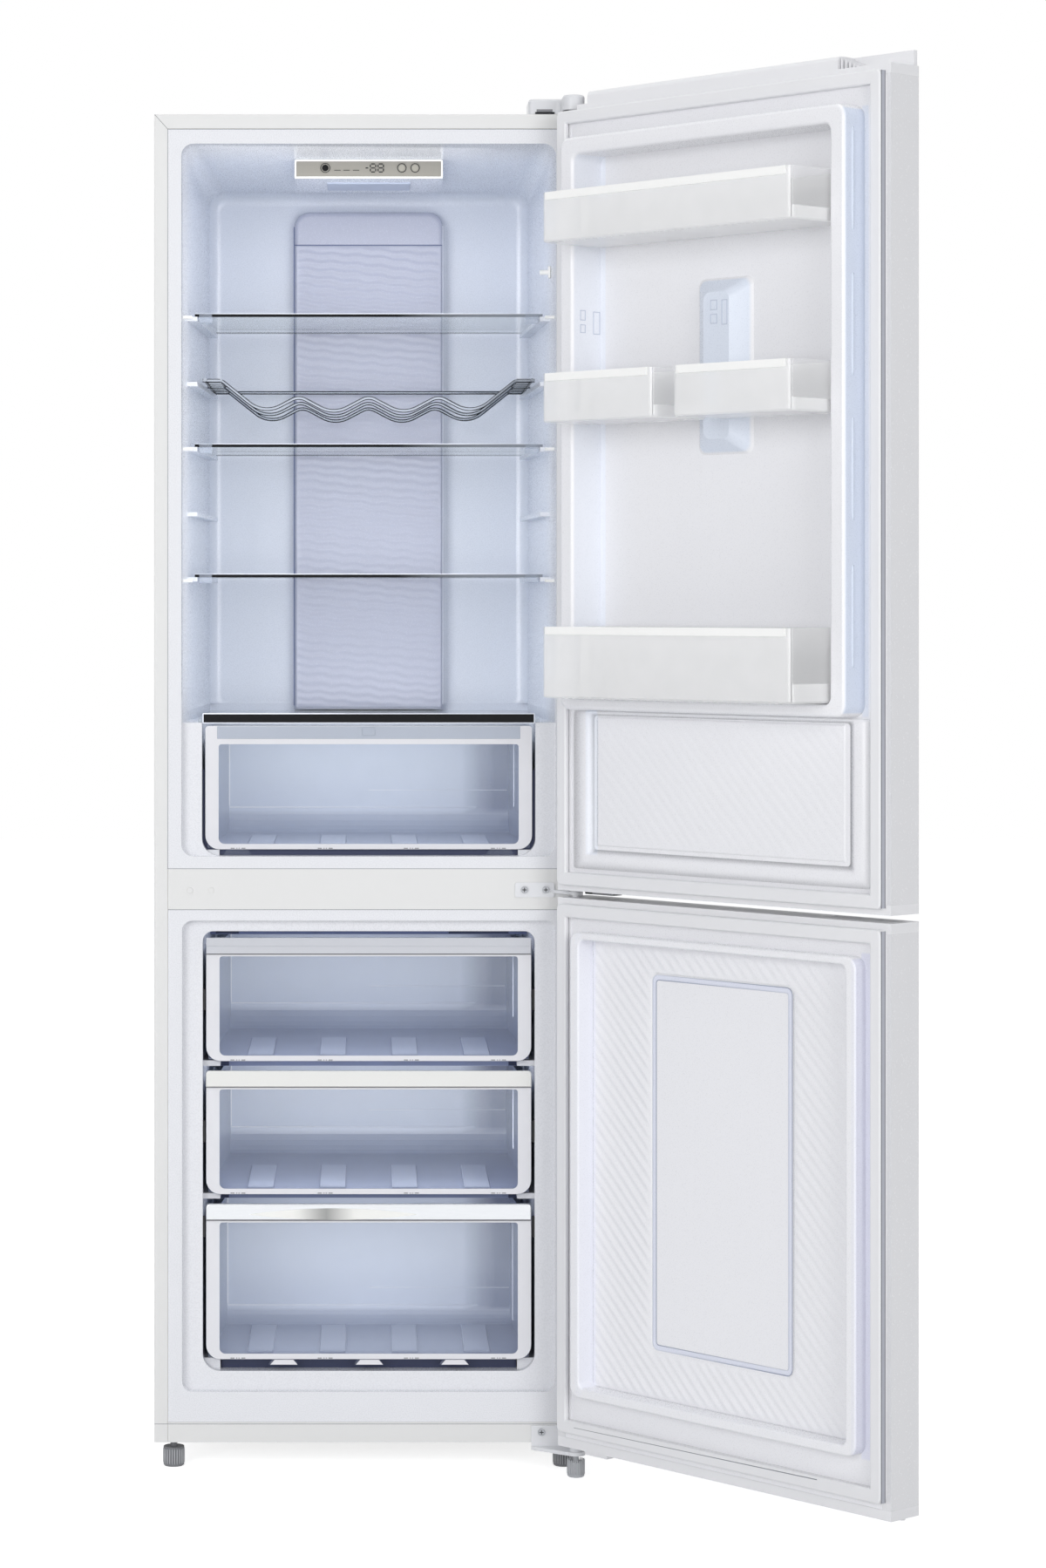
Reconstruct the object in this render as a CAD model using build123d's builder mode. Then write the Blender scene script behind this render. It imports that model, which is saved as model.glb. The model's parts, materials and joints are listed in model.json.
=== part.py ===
from build123d import *
import math
import os

# Bottom freezer refrigerator, 595 mm wide, with both doors standing open.
# X runs to the right, Y into the cabinet and Z up. The origin is on the floor,
# under the middle of the cabinet's front face. The doors and all that they
# carry are modelled shut and then swung open about the hinge axis.

# ---------------------------------------------------------------- cabinet
CAB_W = 595.0  # over the side sheets
CAB_D = 570.0  # front flange to back sheet
CAB_H = 1843.0  # underside to top sheet
FOOT_H = 39.0  # floor to the cabinet's underside
SHEET = 0.8  # painted steel sheet
EDGE_R = 2.5  # folded outer edges
SIDE_FLANGE = 18.7
TOP_FLANGE = 20.0
RAIL_H = 28.0  # white rail under the freezer opening
RAIL_T = 1.2
SEAM = 0.3  # joint between neighbouring panels
PLATE_T = 1.5  # base tray
FLANGE_BACK = 2.8  # the foam starts this far behind the front face
SIDE_PIPE_ROOM = 6.0  # between foam and side sheet, for the condenser

# ---------------------------------------------------------------- compartments
LINER_T = 2.5
FRIDGE_WALL = 37.5  # outer side to fridge opening
FRIDGE_TAPER = 20.0  # each side wall stands this much further in at the back
FRIDGE_D = CAB_D - 90.0
ROOF_T = 41.0
ROOF_DROP = 20.0
MOUTH_R = 17.0
REAR_R = 18.0
CRISPER_WALL = 65.5
CRISPER_D = FRIDGE_D - 80.0
CRISPER_SETBACK = 15.0  # white surround behind the front face
CRISPER_H = 185.0
DIVIDER_T = 105.0  # freezer roof to crisper floor
FREEZER_H = 612.0
FREEZER_WALL = 66.5
FREEZER_D = CAB_D - 60.0
FREEZER_R = 14.5  # upper corners of the opening
FREEZER_LOW_R = 24.0  # lower corners
FREEZER_FLOOR_T = 96.0
STEP_WALL = 38.5  # outer side to the stepped frame round the freezer opening
STEP_D = 16.0
STEP_ABOVE = 16.0
STEP_BELOW = 26.0
MULLION_LOW = 31.0  # freezer roof to the mullion strip
MULLION_H = 57.0
MULLION_T = 1.0

# ---------------------------------------------------------------- machine bay
BAY_D = 185.0
BAY_H = 216.0
BAY_INSULATION = 45.0

# ---------------------------------------------------------------- shelves
SHELF_Y = 100.0  # front edge
SHELF_D = FRIDGE_D - 130.0
SHELF_T = 4.5
SHELF_GAP = 10.0  # glass to side wall
SHELF_PITCH = 184.0
FIRST_SHELF = 203.0  # above the crisper's cover
LEDGE_W = 14.0
LEDGE_H = 6.0
CLIP_W = 18.0
CLIP_H = 8.0
COVER_T = 5.0
COVER_Y = 26.0
TRIM_H = 12.0
TRIM_D = 10.0

# ---------------------------------------------------------------- wine rack
WIRE_R = 2.5
RACK_END = 26.75  # level wire at each end of a wave
RAIL_LIFT = 0.4
RACK_DIP = 48.0  # corner to corner, before the bends take their share
RACK_CREST = 26.0
RACK_FLANK = 60.0  # level end to first trough
RACK_TROUGH_R = 40.0
RACK_CREST_R = 20.0
RACK_RUNS = 3

# ---------------------------------------------------------------- drawers
DRAWER_T = 2.5
DRAWER_SIDE_GAP = 4.5
DRAWER_GAP = 13.0
DRAWER_LIFT = 16.0
DRAWER_TOP_GAP = 9.0
DRAWER_D = FREEZER_D - 110.0
DRAWER_TOP_R = 5.0
DRAWER_LOW_R = 20.0
DRAWER_REAR_R = 29.0  # rear wall into floor
DRAWER_SIDE_R = 16.0
LOW_DRAWER_D = 260.0
LOW_DRAWER_REAR_R = 18.0
LOW_DRAWER_H = 216.6
BAND_H = 22.5
BAND_T = 2.5
FRAME_W = 21.5
FRONT_T = 5.0
WINDOW_SINK = 1.5
RUNNER_W = 24.0
RUNNER_H = 8.0
RUN_GAP = 0.3
CRISPER_GAP = 4.0
CRISPER_TOP_GAP = 4.0
CRISPER_LIFT = 8.0
CRISPER_DRAWER_D = CRISPER_D - 35.0

# ---------------------------------------------------------------- doors
DOOR_T = 58.0
DOOR_GAP = 12.0  # inner face of the door to the cabinet
DOOR_OPEN = 132.0  # degrees
DOOR_LIP = 21.0  # skin and grip block above the upper door's top
DOOR_LOW = 5.5  # above the cabinet's underside
DOOR_HIGH = 4.0  # above the cabinet's top
DOOR_SPLIT = 10.0  # gap between the doors
CAP_H = 13.0
CAP_T = 2.5
SKIN_R = 6.0
SKIN_RETURN = 14.0
HINGE_IN = 12.0  # axis to the door's side
HINGE_BACK = 22.8  # axis to the door's inner face
DOOR_LINER_T = 2.5
GASKET_W = 18.0
GASKET_IN = 8.0
LOW_GASKET_IN = 22.0  # the lower door's seal passes over the bottom hinge's plate
GASKET_CLEAR = 0.3
UPPER_RIDGE_IN = 43.0  # door's side to the ridge
UPPER_RIDGE_W = 25.0
UPPER_RIDGE_H = 40.0
UPPER_SINK = 15.0
LOWER_RIDGE_IN = 42.0
LOWER_RIDGE_W = 17.0
LOWER_RIDGE_H = 20.0
LOWER_SINK = 8.0
BLOCK_START = 37.0  # along the door, from its hinge side
BLOCK_END = 489.0
BLOCK_D = 38.0
GRIP_END = 530.0
LIP_T = 6.0

# ---------------------------------------------------------------- door bins
BIN_T = 2.5
BIN_IN = 73.0  # door's side to the bin
BIN_REACH = 105.5
BIN_R = 10.0
BIN_SEAT = 1.0  # clear of the door liner's floor
BIN_LUG = 4.7
STRIP_H = 10.5
STRIP_T = 1.5
HALF_BIN_W = 208.0

# ---------------------------------------------------------------- hinges and feet
PIN_R = 5.0
PIN_FIT = 0.05
PIN_IN = 12.0
ARM_T = 4.0
SCREW_R = 2.0
SCREW_FIT = 0.1
SCREW_L = 14.0
HEAD_R = 5.0
HEAD_H = 2.2
FOOT_IN = 25.5  # cabinet's side to the foot's middle
FOOT_Y = 35.0
FOOT_R = 14.5
HINGE_FOOT_R = 11.8
FOOT_CAP_H = 27.0
STEM_R = 5.0
FLUTES = 24
ROLLER_R = 18.0
ROLLER_W = 22.0
ROLLER_IN = 35.5
ROLLER_Y = CAB_D - 50.0
AXLE_R = 4.0

# ---------------------------------------------------------------- levels and lines that follow
HALF = CAB_W / 2
FOOT_X = HALF - FOOT_IN
ROLLER_X = HALF - ROLLER_IN
CAB_LOW = FOOT_H
CAB_TOP = FOOT_H + CAB_H
FREEZER_LOW = CAB_LOW + FREEZER_FLOOR_T
FREEZER_HIGH = FREEZER_LOW + FREEZER_H
CRISPER_LOW = FREEZER_HIGH + DIVIDER_T
COVER_LOW = CRISPER_LOW + CRISPER_H
FRIDGE_HIGH = CAB_TOP - ROOF_T
MULLION = (FREEZER_HIGH + MULLION_LOW, FREEZER_HIGH + MULLION_LOW + MULLION_H)
MID_GAP = FREEZER_HIGH + DIVIDER_T / 2 + 4.5
FRIDGE_HALF = HALF - FRIDGE_WALL
CRISPER_HALF = HALF - CRISPER_WALL
FREEZER_HALF = HALF - FREEZER_WALL
STEP_HALF = HALF - STEP_WALL
BAY_FRONT = CAB_D - BAY_D
BAY_TOP = CAB_LOW + BAY_H
STEP_BACK = BAY_FRONT - BAY_INSULATION
STEP_TOP = BAY_TOP + BAY_INSULATION
UPPER_Z = (MID_GAP + DOOR_SPLIT / 2, CAB_TOP + DOOR_HIGH)
LOWER_Z = (CAB_LOW + DOOR_LOW, MID_GAP - DOOR_SPLIT / 2)
INNER = -DOOR_GAP  # the door's inner face
OUTER = -DOOR_GAP - DOOR_T  # its outer face
AXIS_X = HALF - HINGE_IN
AXIS_Y = INNER - HINGE_BACK
HINGE_AXIS = Axis((AXIS_X, AXIS_Y, 0), (0, 0, 1))
SHELF_Z = [COVER_LOW + FIRST_SHELF + i * SHELF_PITCH for i in range(3)]
RACK_Z = (SHELF_Z[1] + SHELF_Z[2]) / 2
TOP_DRAWERS_H = (
    FREEZER_H - DRAWER_LIFT - LOW_DRAWER_H - 2 * DRAWER_GAP - DRAWER_TOP_GAP
) / 2
DRAWER_HALF = FREEZER_HALF - DRAWER_SIDE_GAP
LOW_DRAWER_Z = (FREEZER_LOW + DRAWER_LIFT, FREEZER_LOW + DRAWER_LIFT + LOW_DRAWER_H)
MID_DRAWER_Z = (LOW_DRAWER_Z[1] + DRAWER_GAP, LOW_DRAWER_Z[1] + DRAWER_GAP + TOP_DRAWERS_H)
TOP_DRAWER_Z = (MID_DRAWER_Z[1] + DRAWER_GAP, MID_DRAWER_Z[1] + DRAWER_GAP + TOP_DRAWERS_H)


# ---------------------------------------------------------------- helpers
def front_plane(y):
    """The plane facing the viewer at depth y: sketch x is X, sketch y is Z."""
    return Plane.XZ.offset(-y)


def block(x, y, z, mode=Mode.ADD):
    """A box between the low and high ends given for each axis."""
    with Locations(((x[0] + x[1]) / 2, (y[0] + y[1]) / 2, (z[0] + z[1]) / 2)):
        Box(x[1] - x[0], y[1] - y[0], z[1] - z[0], mode=mode)


def slab(x, y, z, radius, mode=Mode.ADD):
    """A box between low and high ends, its four edges along Y rounded."""
    with BuildSketch(front_plane(y[0])) as face:
        with Locations(((x[0] + x[1]) / 2, (z[0] + z[1]) / 2)):
            RectangleRounded(x[1] - x[0], z[1] - z[0], radius)
    extrude(face.sketch, amount=-(y[1] - y[0]), mode=mode)


def panel(x, y, z, low_radius, high_radius, mode=Mode.ADD):
    """A slab along Y whose lower and upper corners have their own radius."""
    with BuildSketch(front_plane(y[0])) as face:
        with Locations(((x[0] + x[1]) / 2, (z[0] + z[1]) / 2)):
            Rectangle(x[1] - x[0], z[1] - z[0])
        fillet(face.vertices().group_by(Axis.Y)[0], low_radius)
        fillet(face.vertices().group_by(Axis.Y)[-1], high_radius)
    extrude(face.sketch, amount=-(y[1] - y[0]), mode=mode)


def upright(x, y, z, radius, mode=Mode.ADD):
    """A vertical cylinder at x, y between two heights."""
    with Locations((x, y, (z[0] + z[1]) / 2)):
        Cylinder(radius, z[1] - z[0], mode=mode)


def level_rod(x, y, z, radius, mode=Mode.ADD):
    """A cylinder along X between two places, at depth y and height z."""
    with Locations(((x[0] + x[1]) / 2, y, z)):
        Cylinder(radius, x[1] - x[0], rotation=(0, 90, 0), mode=mode)


def deep_rod(x, y, z, radius, mode=Mode.ADD):
    """A cylinder along Y between two depths."""
    with Locations((x, (y[0] + y[1]) / 2, z)):
        Cylinder(radius, y[1] - y[0], rotation=(90, 0, 0), mode=mode)


def both(half):
    """The range from one side of the middle to the other."""
    return (-half, half)


def wall_x(y):
    """Half the fridge compartment's width at depth y."""
    return FRIDGE_HALF - FRIDGE_TAPER * y / FRIDGE_D


def roof_z(y):
    """Height of the fridge compartment's roof at depth y."""
    return FRIDGE_HIGH - ROOF_DROP * y / FRIDGE_D


def along(u):
    """X of a place on the shut door, measured from its hinge side."""
    return HALF - u


def swing(piece):
    """Turn a door's piece from shut to standing open."""
    piece.part = piece.part.rotate(HINGE_AXIS, DOOR_OPEN)


def write(piece, name):
    """Label a finished piece and write it to its own STEP file."""
    piece.part.label = name
    export_step(piece.part, f"parts/{name}.step")


os.makedirs("parts", exist_ok=True)


# ---------------------------------------------------------------- spaces inside the cabinet
def fridge_space(grow):
    """The fridge compartment and the crisper bay, larger all round by grow."""
    middle = (COVER_LOW + FRIDGE_HIGH) / 2
    rear_middle = middle - ROOF_DROP / 2
    height = FRIDGE_HIGH - COVER_LOW
    with BuildPart() as space:
        with BuildSketch(front_plane(0)):
            with Locations((0, middle)):
                RectangleRounded(2 * (FRIDGE_HALF + grow), height + 2 * grow, MOUTH_R + grow)
        with BuildSketch(front_plane(FRIDGE_D + grow)):
            with Locations((0, rear_middle)):
                RectangleRounded(
                    2 * (FRIDGE_HALF - FRIDGE_TAPER + grow),
                    height - ROOF_DROP + 2 * grow,
                    1.4 * REAR_R + grow,
                )
        loft(ruled=True)
        fillet(space.faces().sort_by(Axis.Y)[-1].edges(), REAR_R + grow)
        slab(
            both(FRIDGE_HALF + grow),
            (0, CRISPER_SETBACK + grow),
            (CRISPER_LOW - grow, COVER_LOW + 3 * MOUTH_R),
            MOUTH_R + grow,
        )
        panel(
            both(CRISPER_HALF + grow),
            (0, CRISPER_D + grow),
            (CRISPER_LOW - grow, COVER_LOW + 2 * MOUTH_R),
            FREEZER_LOW_R + grow,
            MOUTH_R,
        )
        # square lower corners, where the crisper's cover rests on the sides
        rear = FRIDGE_D + grow
        with BuildSketch(Plane.XY.offset(COVER_LOW - grow)):
            with BuildLine():
                Polyline(
                    (-wall_x(0) - grow, 0),
                    (wall_x(0) + grow, 0),
                    (wall_x(rear) + grow, rear),
                    (-wall_x(rear) - grow, rear),
                    close=True,
                )
            make_face()
        extrude(amount=COVER_T + 10 + 2 * grow)
    return space.part


def freezer_space(grow):
    """The freezer compartment, stepped at the rear over the machine bay."""
    with BuildPart() as space:
        panel(
            both(FREEZER_HALF + grow),
            (0, FREEZER_D + grow),
            (FREEZER_LOW - grow, FREEZER_HIGH + grow),
            FREEZER_LOW_R + grow,
            FREEZER_R + grow,
        )
        block(
            both(HALF),
            (STEP_BACK + grow, CAB_D),
            (CAB_LOW, STEP_TOP - grow),
            mode=Mode.SUBTRACT,
        )
        slab(
            both(STEP_HALF + grow),
            (0, STEP_D + grow),
            (FREEZER_LOW - STEP_BELOW - grow, FREEZER_HIGH + STEP_ABOVE + grow),
            FREEZER_R + grow,
        )
    return space.part


FRIDGE_SPACE = fridge_space(0)
FRIDGE_MOULD = fridge_space(LINER_T)
FREEZER_SPACE = freezer_space(0)
FREEZER_MOULD = freezer_space(LINER_T)

# ---------------------------------------------------------------- outer shell
with BuildPart() as outer_shell:
    block(both(HALF), (0, CAB_D), (CAB_LOW, CAB_TOP))
    fillet(outer_shell.edges().filter_by(Axis.Y).group_by(Axis.Z)[-1], EDGE_R)
    fillet(outer_shell.edges().group_by(Axis.Y)[0].filter_by(Axis.Z), EDGE_R / 2)
    block(
        both(HALF - SHEET),
        (SHEET, CAB_D),
        (CAB_LOW, CAB_TOP - SHEET),
        mode=Mode.SUBTRACT,
    )
    block(
        both(HALF - SIDE_FLANGE),
        (0, SHEET),
        (CAB_LOW, CAB_TOP - TOP_FLANGE),
        mode=Mode.SUBTRACT,
    )
    # the mitred joint of side and top flange, a slit at 45 degrees in each corner
    for side in (-1, 1):
        with BuildSketch(front_plane(0)):
            with Locations((side * (HALF - SIDE_FLANGE / 2), CAB_TOP - TOP_FLANGE / 2)):
                with Locations(Rotation(0, 0, side * 45)):
                    Rectangle(1.25 * TOP_FLANGE, SEAM)
        extrude(amount=-SHEET / 2, mode=Mode.SUBTRACT)
    TOP_SCREWS = [(HALF - 20, 16), (HALF - 60, 16), (HALF - 40, 50)]
    for x, y in TOP_SCREWS:
        upright(x, y, (CAB_TOP - 5, CAB_TOP + 1), SCREW_R + SCREW_FIT, mode=Mode.SUBTRACT)
write(outer_shell, "outer_shell")

# ---------------------------------------------------------------- back panel
GLAND_X = -200.0
GLAND_Z = BAY_TOP + 50.0
GLAND_R = 11.0
SPOUT_X = 120.0
SPOUT_Y = BAY_FRONT + 30.0
SPOUT_R = 8.0
with BuildPart() as back_panel:
    block(both(HALF - SHEET), (CAB_D - SHEET, CAB_D), (BAY_TOP - SHEET, CAB_TOP - SHEET))
    block(both(HALF - SHEET), (BAY_FRONT, CAB_D), (BAY_TOP - SHEET, BAY_TOP))
    block(both(HALF - SHEET), (BAY_FRONT, BAY_FRONT + SHEET), (CAB_LOW + PLATE_T, BAY_TOP))
    deep_rod(GLAND_X, (CAB_D - 2, CAB_D + 1), GLAND_Z, GLAND_R, mode=Mode.SUBTRACT)
    upright(SPOUT_X, SPOUT_Y, (BAY_TOP - 5, BAY_TOP + 5), SPOUT_R, mode=Mode.SUBTRACT)
write(back_panel, "back_panel")

# ---------------------------------------------------------------- base frame
EAR_T = 2.0
EAR_GAP = 0.6
EAR_R = 10.0
BRACKET_Z = (FOOT_H - 9.0, FOOT_H - 4.0)  # bottom hinge plate
LOW_SCREWS = [(HALF - 58, CAB_LOW + 15), (HALF - 30, CAB_LOW + 15)]
with BuildPart() as base_frame:
    block(both(HALF - SHEET), (RAIL_T, CAB_D), (CAB_LOW, CAB_LOW + PLATE_T))
    block(both(HALF - SIDE_FLANGE - SEAM), (0, RAIL_T), (CAB_LOW, CAB_LOW + RAIL_H))
    for side in (-1, 1):
        upright(
            side * FOOT_X,
            FOOT_Y,
            (CAB_LOW - 1, CAB_LOW + 5),
            STEM_R + PIN_FIT,
            mode=Mode.SUBTRACT,
        )
        for end in (-1, 1):
            ear_x = side * ROLLER_X + end * (ROLLER_W / 2 + EAR_GAP + EAR_T / 2)
            ear = (ear_x - EAR_T / 2, ear_x + EAR_T / 2)
            block(ear, (ROLLER_Y - EAR_R, ROLLER_Y + EAR_R), (ROLLER_R, CAB_LOW + 0.5))
            level_rod(ear, ROLLER_Y, ROLLER_R, EAR_R)
        axle_half = ROLLER_W / 2 + EAR_GAP + EAR_T
        level_rod(
            (side * ROLLER_X - axle_half, side * ROLLER_X + axle_half),
            ROLLER_Y,
            ROLLER_R,
            AXLE_R,
        )
    for x, z in LOW_SCREWS:
        deep_rod(x, (-1, 5), z, SCREW_R + SCREW_FIT, mode=Mode.SUBTRACT)
write(base_frame, "base_frame")

# ---------------------------------------------------------------- insulation
MID_SCREWS = [(HALF - 81.5, MID_GAP + 2), (HALF - 52, MID_GAP + 2)]
DUCT_HALF = 60.0
DUCT_Y = (FRIDGE_D - 28.0, FRIDGE_D - 4.0)
CHAMBER_Y = 445.0  # rear part of the freezer, behind the cover
with BuildPart() as cabinet_foam:
    block(
        both(HALF - SHEET),
        (FLANGE_BACK, CAB_D - SHEET),
        (CAB_LOW + PLATE_T, CAB_TOP - SHEET),
    )
    block(
        both(HALF),
        (BAY_FRONT, CAB_D),
        (CAB_LOW, BAY_TOP),
        mode=Mode.SUBTRACT,
    )
    for side in (-1, 1):
        pocket = sorted((side * (HALF - SIDE_PIPE_ROOM), side * HALF))
        block(
            pocket,
            (40, CAB_D - SHEET - 20),
            (BAY_TOP + 40, CAB_TOP - 60),
            mode=Mode.SUBTRACT,
        )
        upright(side * FOOT_X, FOOT_Y, (CAB_LOW, CAB_LOW + 34), STEM_R + 1, mode=Mode.SUBTRACT)
    add(FRIDGE_MOULD, mode=Mode.SUBTRACT)
    add(FREEZER_MOULD, mode=Mode.SUBTRACT)
    block(both(DUCT_HALF), DUCT_Y, (FREEZER_HIGH, COVER_LOW), mode=Mode.SUBTRACT)
    for x, y in TOP_SCREWS:
        upright(x, y, (CAB_TOP - 20, CAB_TOP), SCREW_R + 0.5, mode=Mode.SUBTRACT)
    for x, z in MID_SCREWS + LOW_SCREWS:
        deep_rod(x, (0, 20), z, SCREW_R + 0.5, mode=Mode.SUBTRACT)
    upright(SPOUT_X, SPOUT_Y, (BAY_TOP - 1, STEP_TOP), SPOUT_R + 0.5, mode=Mode.SUBTRACT)
    deep_rod(GLAND_X, (CAB_D - 30, CAB_D), GLAND_Z, GLAND_R + 1, mode=Mode.SUBTRACT)
write(cabinet_foam, "cabinet_foam")

# ---------------------------------------------------------------- fridge liner
LEDGE_Y = (SHELF_Y - 4, SHELF_Y + SHELF_D)
LEDGE_LEVELS = SHELF_Z + [RACK_Z, (SHELF_Z[0] + SHELF_Z[1]) / 2]
LINER_EDGE = HALF - SIDE_FLANGE - SEAM
with BuildPart() as fridge_ledges:
    for level in LEDGE_LEVELS:
        for side in (-1, 1):
            with BuildSketch(Plane.XY.offset(level - LEDGE_H)):
                with BuildLine():
                    Polyline(
                        (side * (wall_x(LEDGE_Y[0]) + 1), LEDGE_Y[0]),
                        (side * (wall_x(LEDGE_Y[1]) + 1), LEDGE_Y[1]),
                        (side * (wall_x(LEDGE_Y[1]) - LEDGE_W), LEDGE_Y[1]),
                        (side * (wall_x(LEDGE_Y[0]) - LEDGE_W), LEDGE_Y[0]),
                        close=True,
                    )
                make_face()
            extrude(amount=LEDGE_H)
    for side in (-1, 1):
        runner = sorted((side * (CRISPER_HALF + 1), side * (CRISPER_HALF - RUNNER_W)))
        block(
            runner,
            (CRISPER_SETBACK + 10, CRISPER_D - 10),
            (CRISPER_LOW - 1, CRISPER_LOW + CRISPER_LIFT - RUN_GAP),
        )
    add(FRIDGE_MOULD, mode=Mode.INTERSECT)

with BuildPart() as fridge_liner:
    block(
        both(LINER_EDGE),
        (0, FLANGE_BACK),
        (MULLION[1] + SEAM, CAB_TOP - TOP_FLANGE - SEAM),
    )
    add(FRIDGE_MOULD)
    add(FRIDGE_SPACE, mode=Mode.SUBTRACT)
    add(fridge_ledges.part)
    block(
        both(DUCT_HALF),
        DUCT_Y,
        (COVER_LOW - 10, COVER_LOW + 10),
        mode=Mode.SUBTRACT,
    )
write(fridge_liner, "fridge_liner")

# ---------------------------------------------------------------- freezer liner
DRAWER_SPANS = [LOW_DRAWER_Z, MID_DRAWER_Z, TOP_DRAWER_Z]
with BuildPart() as freezer_ledges:
    for span in DRAWER_SPANS:
        lowest = span is LOW_DRAWER_Z
        ledge_low = FREEZER_LOW - 1 if lowest else span[0] - RUNNER_H
        ledge_end = STEP_BACK - 15 if lowest else STEP_D + DRAWER_D - 20
        for side in (-1, 1):
            ledge = sorted((side * (FREEZER_HALF + 1), side * (FREEZER_HALF - RUNNER_W)))
            block(ledge, (STEP_D + 14, ledge_end), (ledge_low, span[0] - RUN_GAP))
    add(FREEZER_MOULD, mode=Mode.INTERSECT)

with BuildPart() as freezer_liner:
    block(
        both(LINER_EDGE),
        (0, FLANGE_BACK),
        (CAB_LOW + RAIL_H + SEAM, MULLION[0] - SEAM),
    )
    add(FREEZER_MOULD)
    add(FREEZER_SPACE, mode=Mode.SUBTRACT)
    add(freezer_ledges.part)
    block(
        both(DUCT_HALF),
        DUCT_Y,
        (FREEZER_HIGH - 10, FREEZER_HIGH + 10),
        mode=Mode.SUBTRACT,
    )
    upright(SPOUT_X, SPOUT_Y, (STEP_TOP - 10, STEP_TOP + 5), SPOUT_R, mode=Mode.SUBTRACT)
write(freezer_liner, "freezer_liner")

# ---------------------------------------------------------------- mullion strip
PLUG_X = (-248.0, -218.0)
PLUG_R = 4.0
with BuildPart() as mullion_strip:
    block(both(LINER_EDGE), (0, MULLION_T), MULLION)
    for x, z in MID_SCREWS:
        deep_rod(x, (-1, 5), z, SCREW_R + SCREW_FIT, mode=Mode.SUBTRACT)
    for x in PLUG_X:
        deep_rod(x, (-1, 5), MID_GAP + 1, PLUG_R, mode=Mode.SUBTRACT)
        deep_rod(x, (-0.8, MULLION_T + 1.5), MID_GAP + 1, PLUG_R - 0.1)
write(mullion_strip, "mullion_strip")

# ---------------------------------------------------------------- air duct cover
DUCT_COVER_HALF = 112.5
DUCT_COVER_T = 22.0
DUCT_COVER_Z = (COVER_LOW + COVER_T + 2.0, FRIDGE_HIGH - 48.0)
DUCT_SEAM_Z = FRIDGE_HIGH - 98.0
DUCT_R = 24.0
DUCT_FRONT = FRIDGE_D - 0.3 - DUCT_COVER_T
VENT_H = 40.0
VENT_COUNT = 4


def duct_cover(z):
    """One length of the air duct cover: a tray 3 mm thick, open to the wall."""
    with BuildPart() as cover:
        slab(
            both(DUCT_COVER_HALF),
            (DUCT_FRONT, DUCT_FRONT + DUCT_COVER_T),
            (DUCT_COVER_Z[0] - 2 * DUCT_R, DUCT_COVER_Z[1]),
            DUCT_R,
        )
        fillet(cover.faces().sort_by(Axis.Y)[0].edges(), 8)
        slab(
            both(DUCT_COVER_HALF - 3),
            (DUCT_FRONT + 3, DUCT_FRONT + DUCT_COVER_T),
            (DUCT_COVER_Z[0] - 2 * DUCT_R, DUCT_COVER_Z[1] - 3),
            DUCT_R - 3,
            mode=Mode.SUBTRACT,
        )
        block(both(HALF), (0, CAB_D), (0, z[0]), mode=Mode.SUBTRACT)
        block(both(HALF), (0, CAB_D), (z[1], CAB_TOP), mode=Mode.SUBTRACT)
    return cover


duct_cover_upper = duct_cover((DUCT_SEAM_Z + SEAM, DUCT_COVER_Z[1] + 1))
write(duct_cover_upper, "duct_cover_upper")

duct_cover_lower = duct_cover((DUCT_COVER_Z[0], DUCT_SEAM_Z))
with BuildPart() as duct_cover_lower_vented:
    add(duct_cover_lower.part)
    for i in range(VENT_COUNT):
        vent_z = SHELF_Z[0] + 40 + i * SHELF_PITCH / 1.5
        block(
            both(HALF),
            (DUCT_FRONT + 10, DUCT_FRONT + 16),
            (vent_z, vent_z + VENT_H),
            mode=Mode.SUBTRACT,
        )
write(duct_cover_lower_vented, "duct_cover_lower")

# ---------------------------------------------------------------- control box on the roof
BOX_HALF = 105.5
BOX_Y = (140.0, 330.0)
BOX_H = 27.0
BOX_T = 2.0
FASCIA_T = 2.0
BUTTON_X = (-61.8, 47.2, 66.0)
BUTTON_R = 4.7
BUTTON_FIT = 0.08
BUTTON_OUT = 1.5
BUTTON_Z = roof_z(BOX_Y[0]) - 12.3
LENS_HALF = 60.0
LENS_Y = (190.0, 280.0)
DISPLAY_X = (-4.0, 19.0)


def box_profile(y, low, high):
    """Draw the side view of a length of the box: low and high below the roof."""
    with BuildLine():
        Polyline(
            (y[0], roof_z(y[0]) - low),
            (y[1], roof_z(y[1]) - low),
            (y[1], roof_z(y[1]) - high),
            (y[0], roof_z(y[0]) - high),
            close=True,
        )


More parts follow.
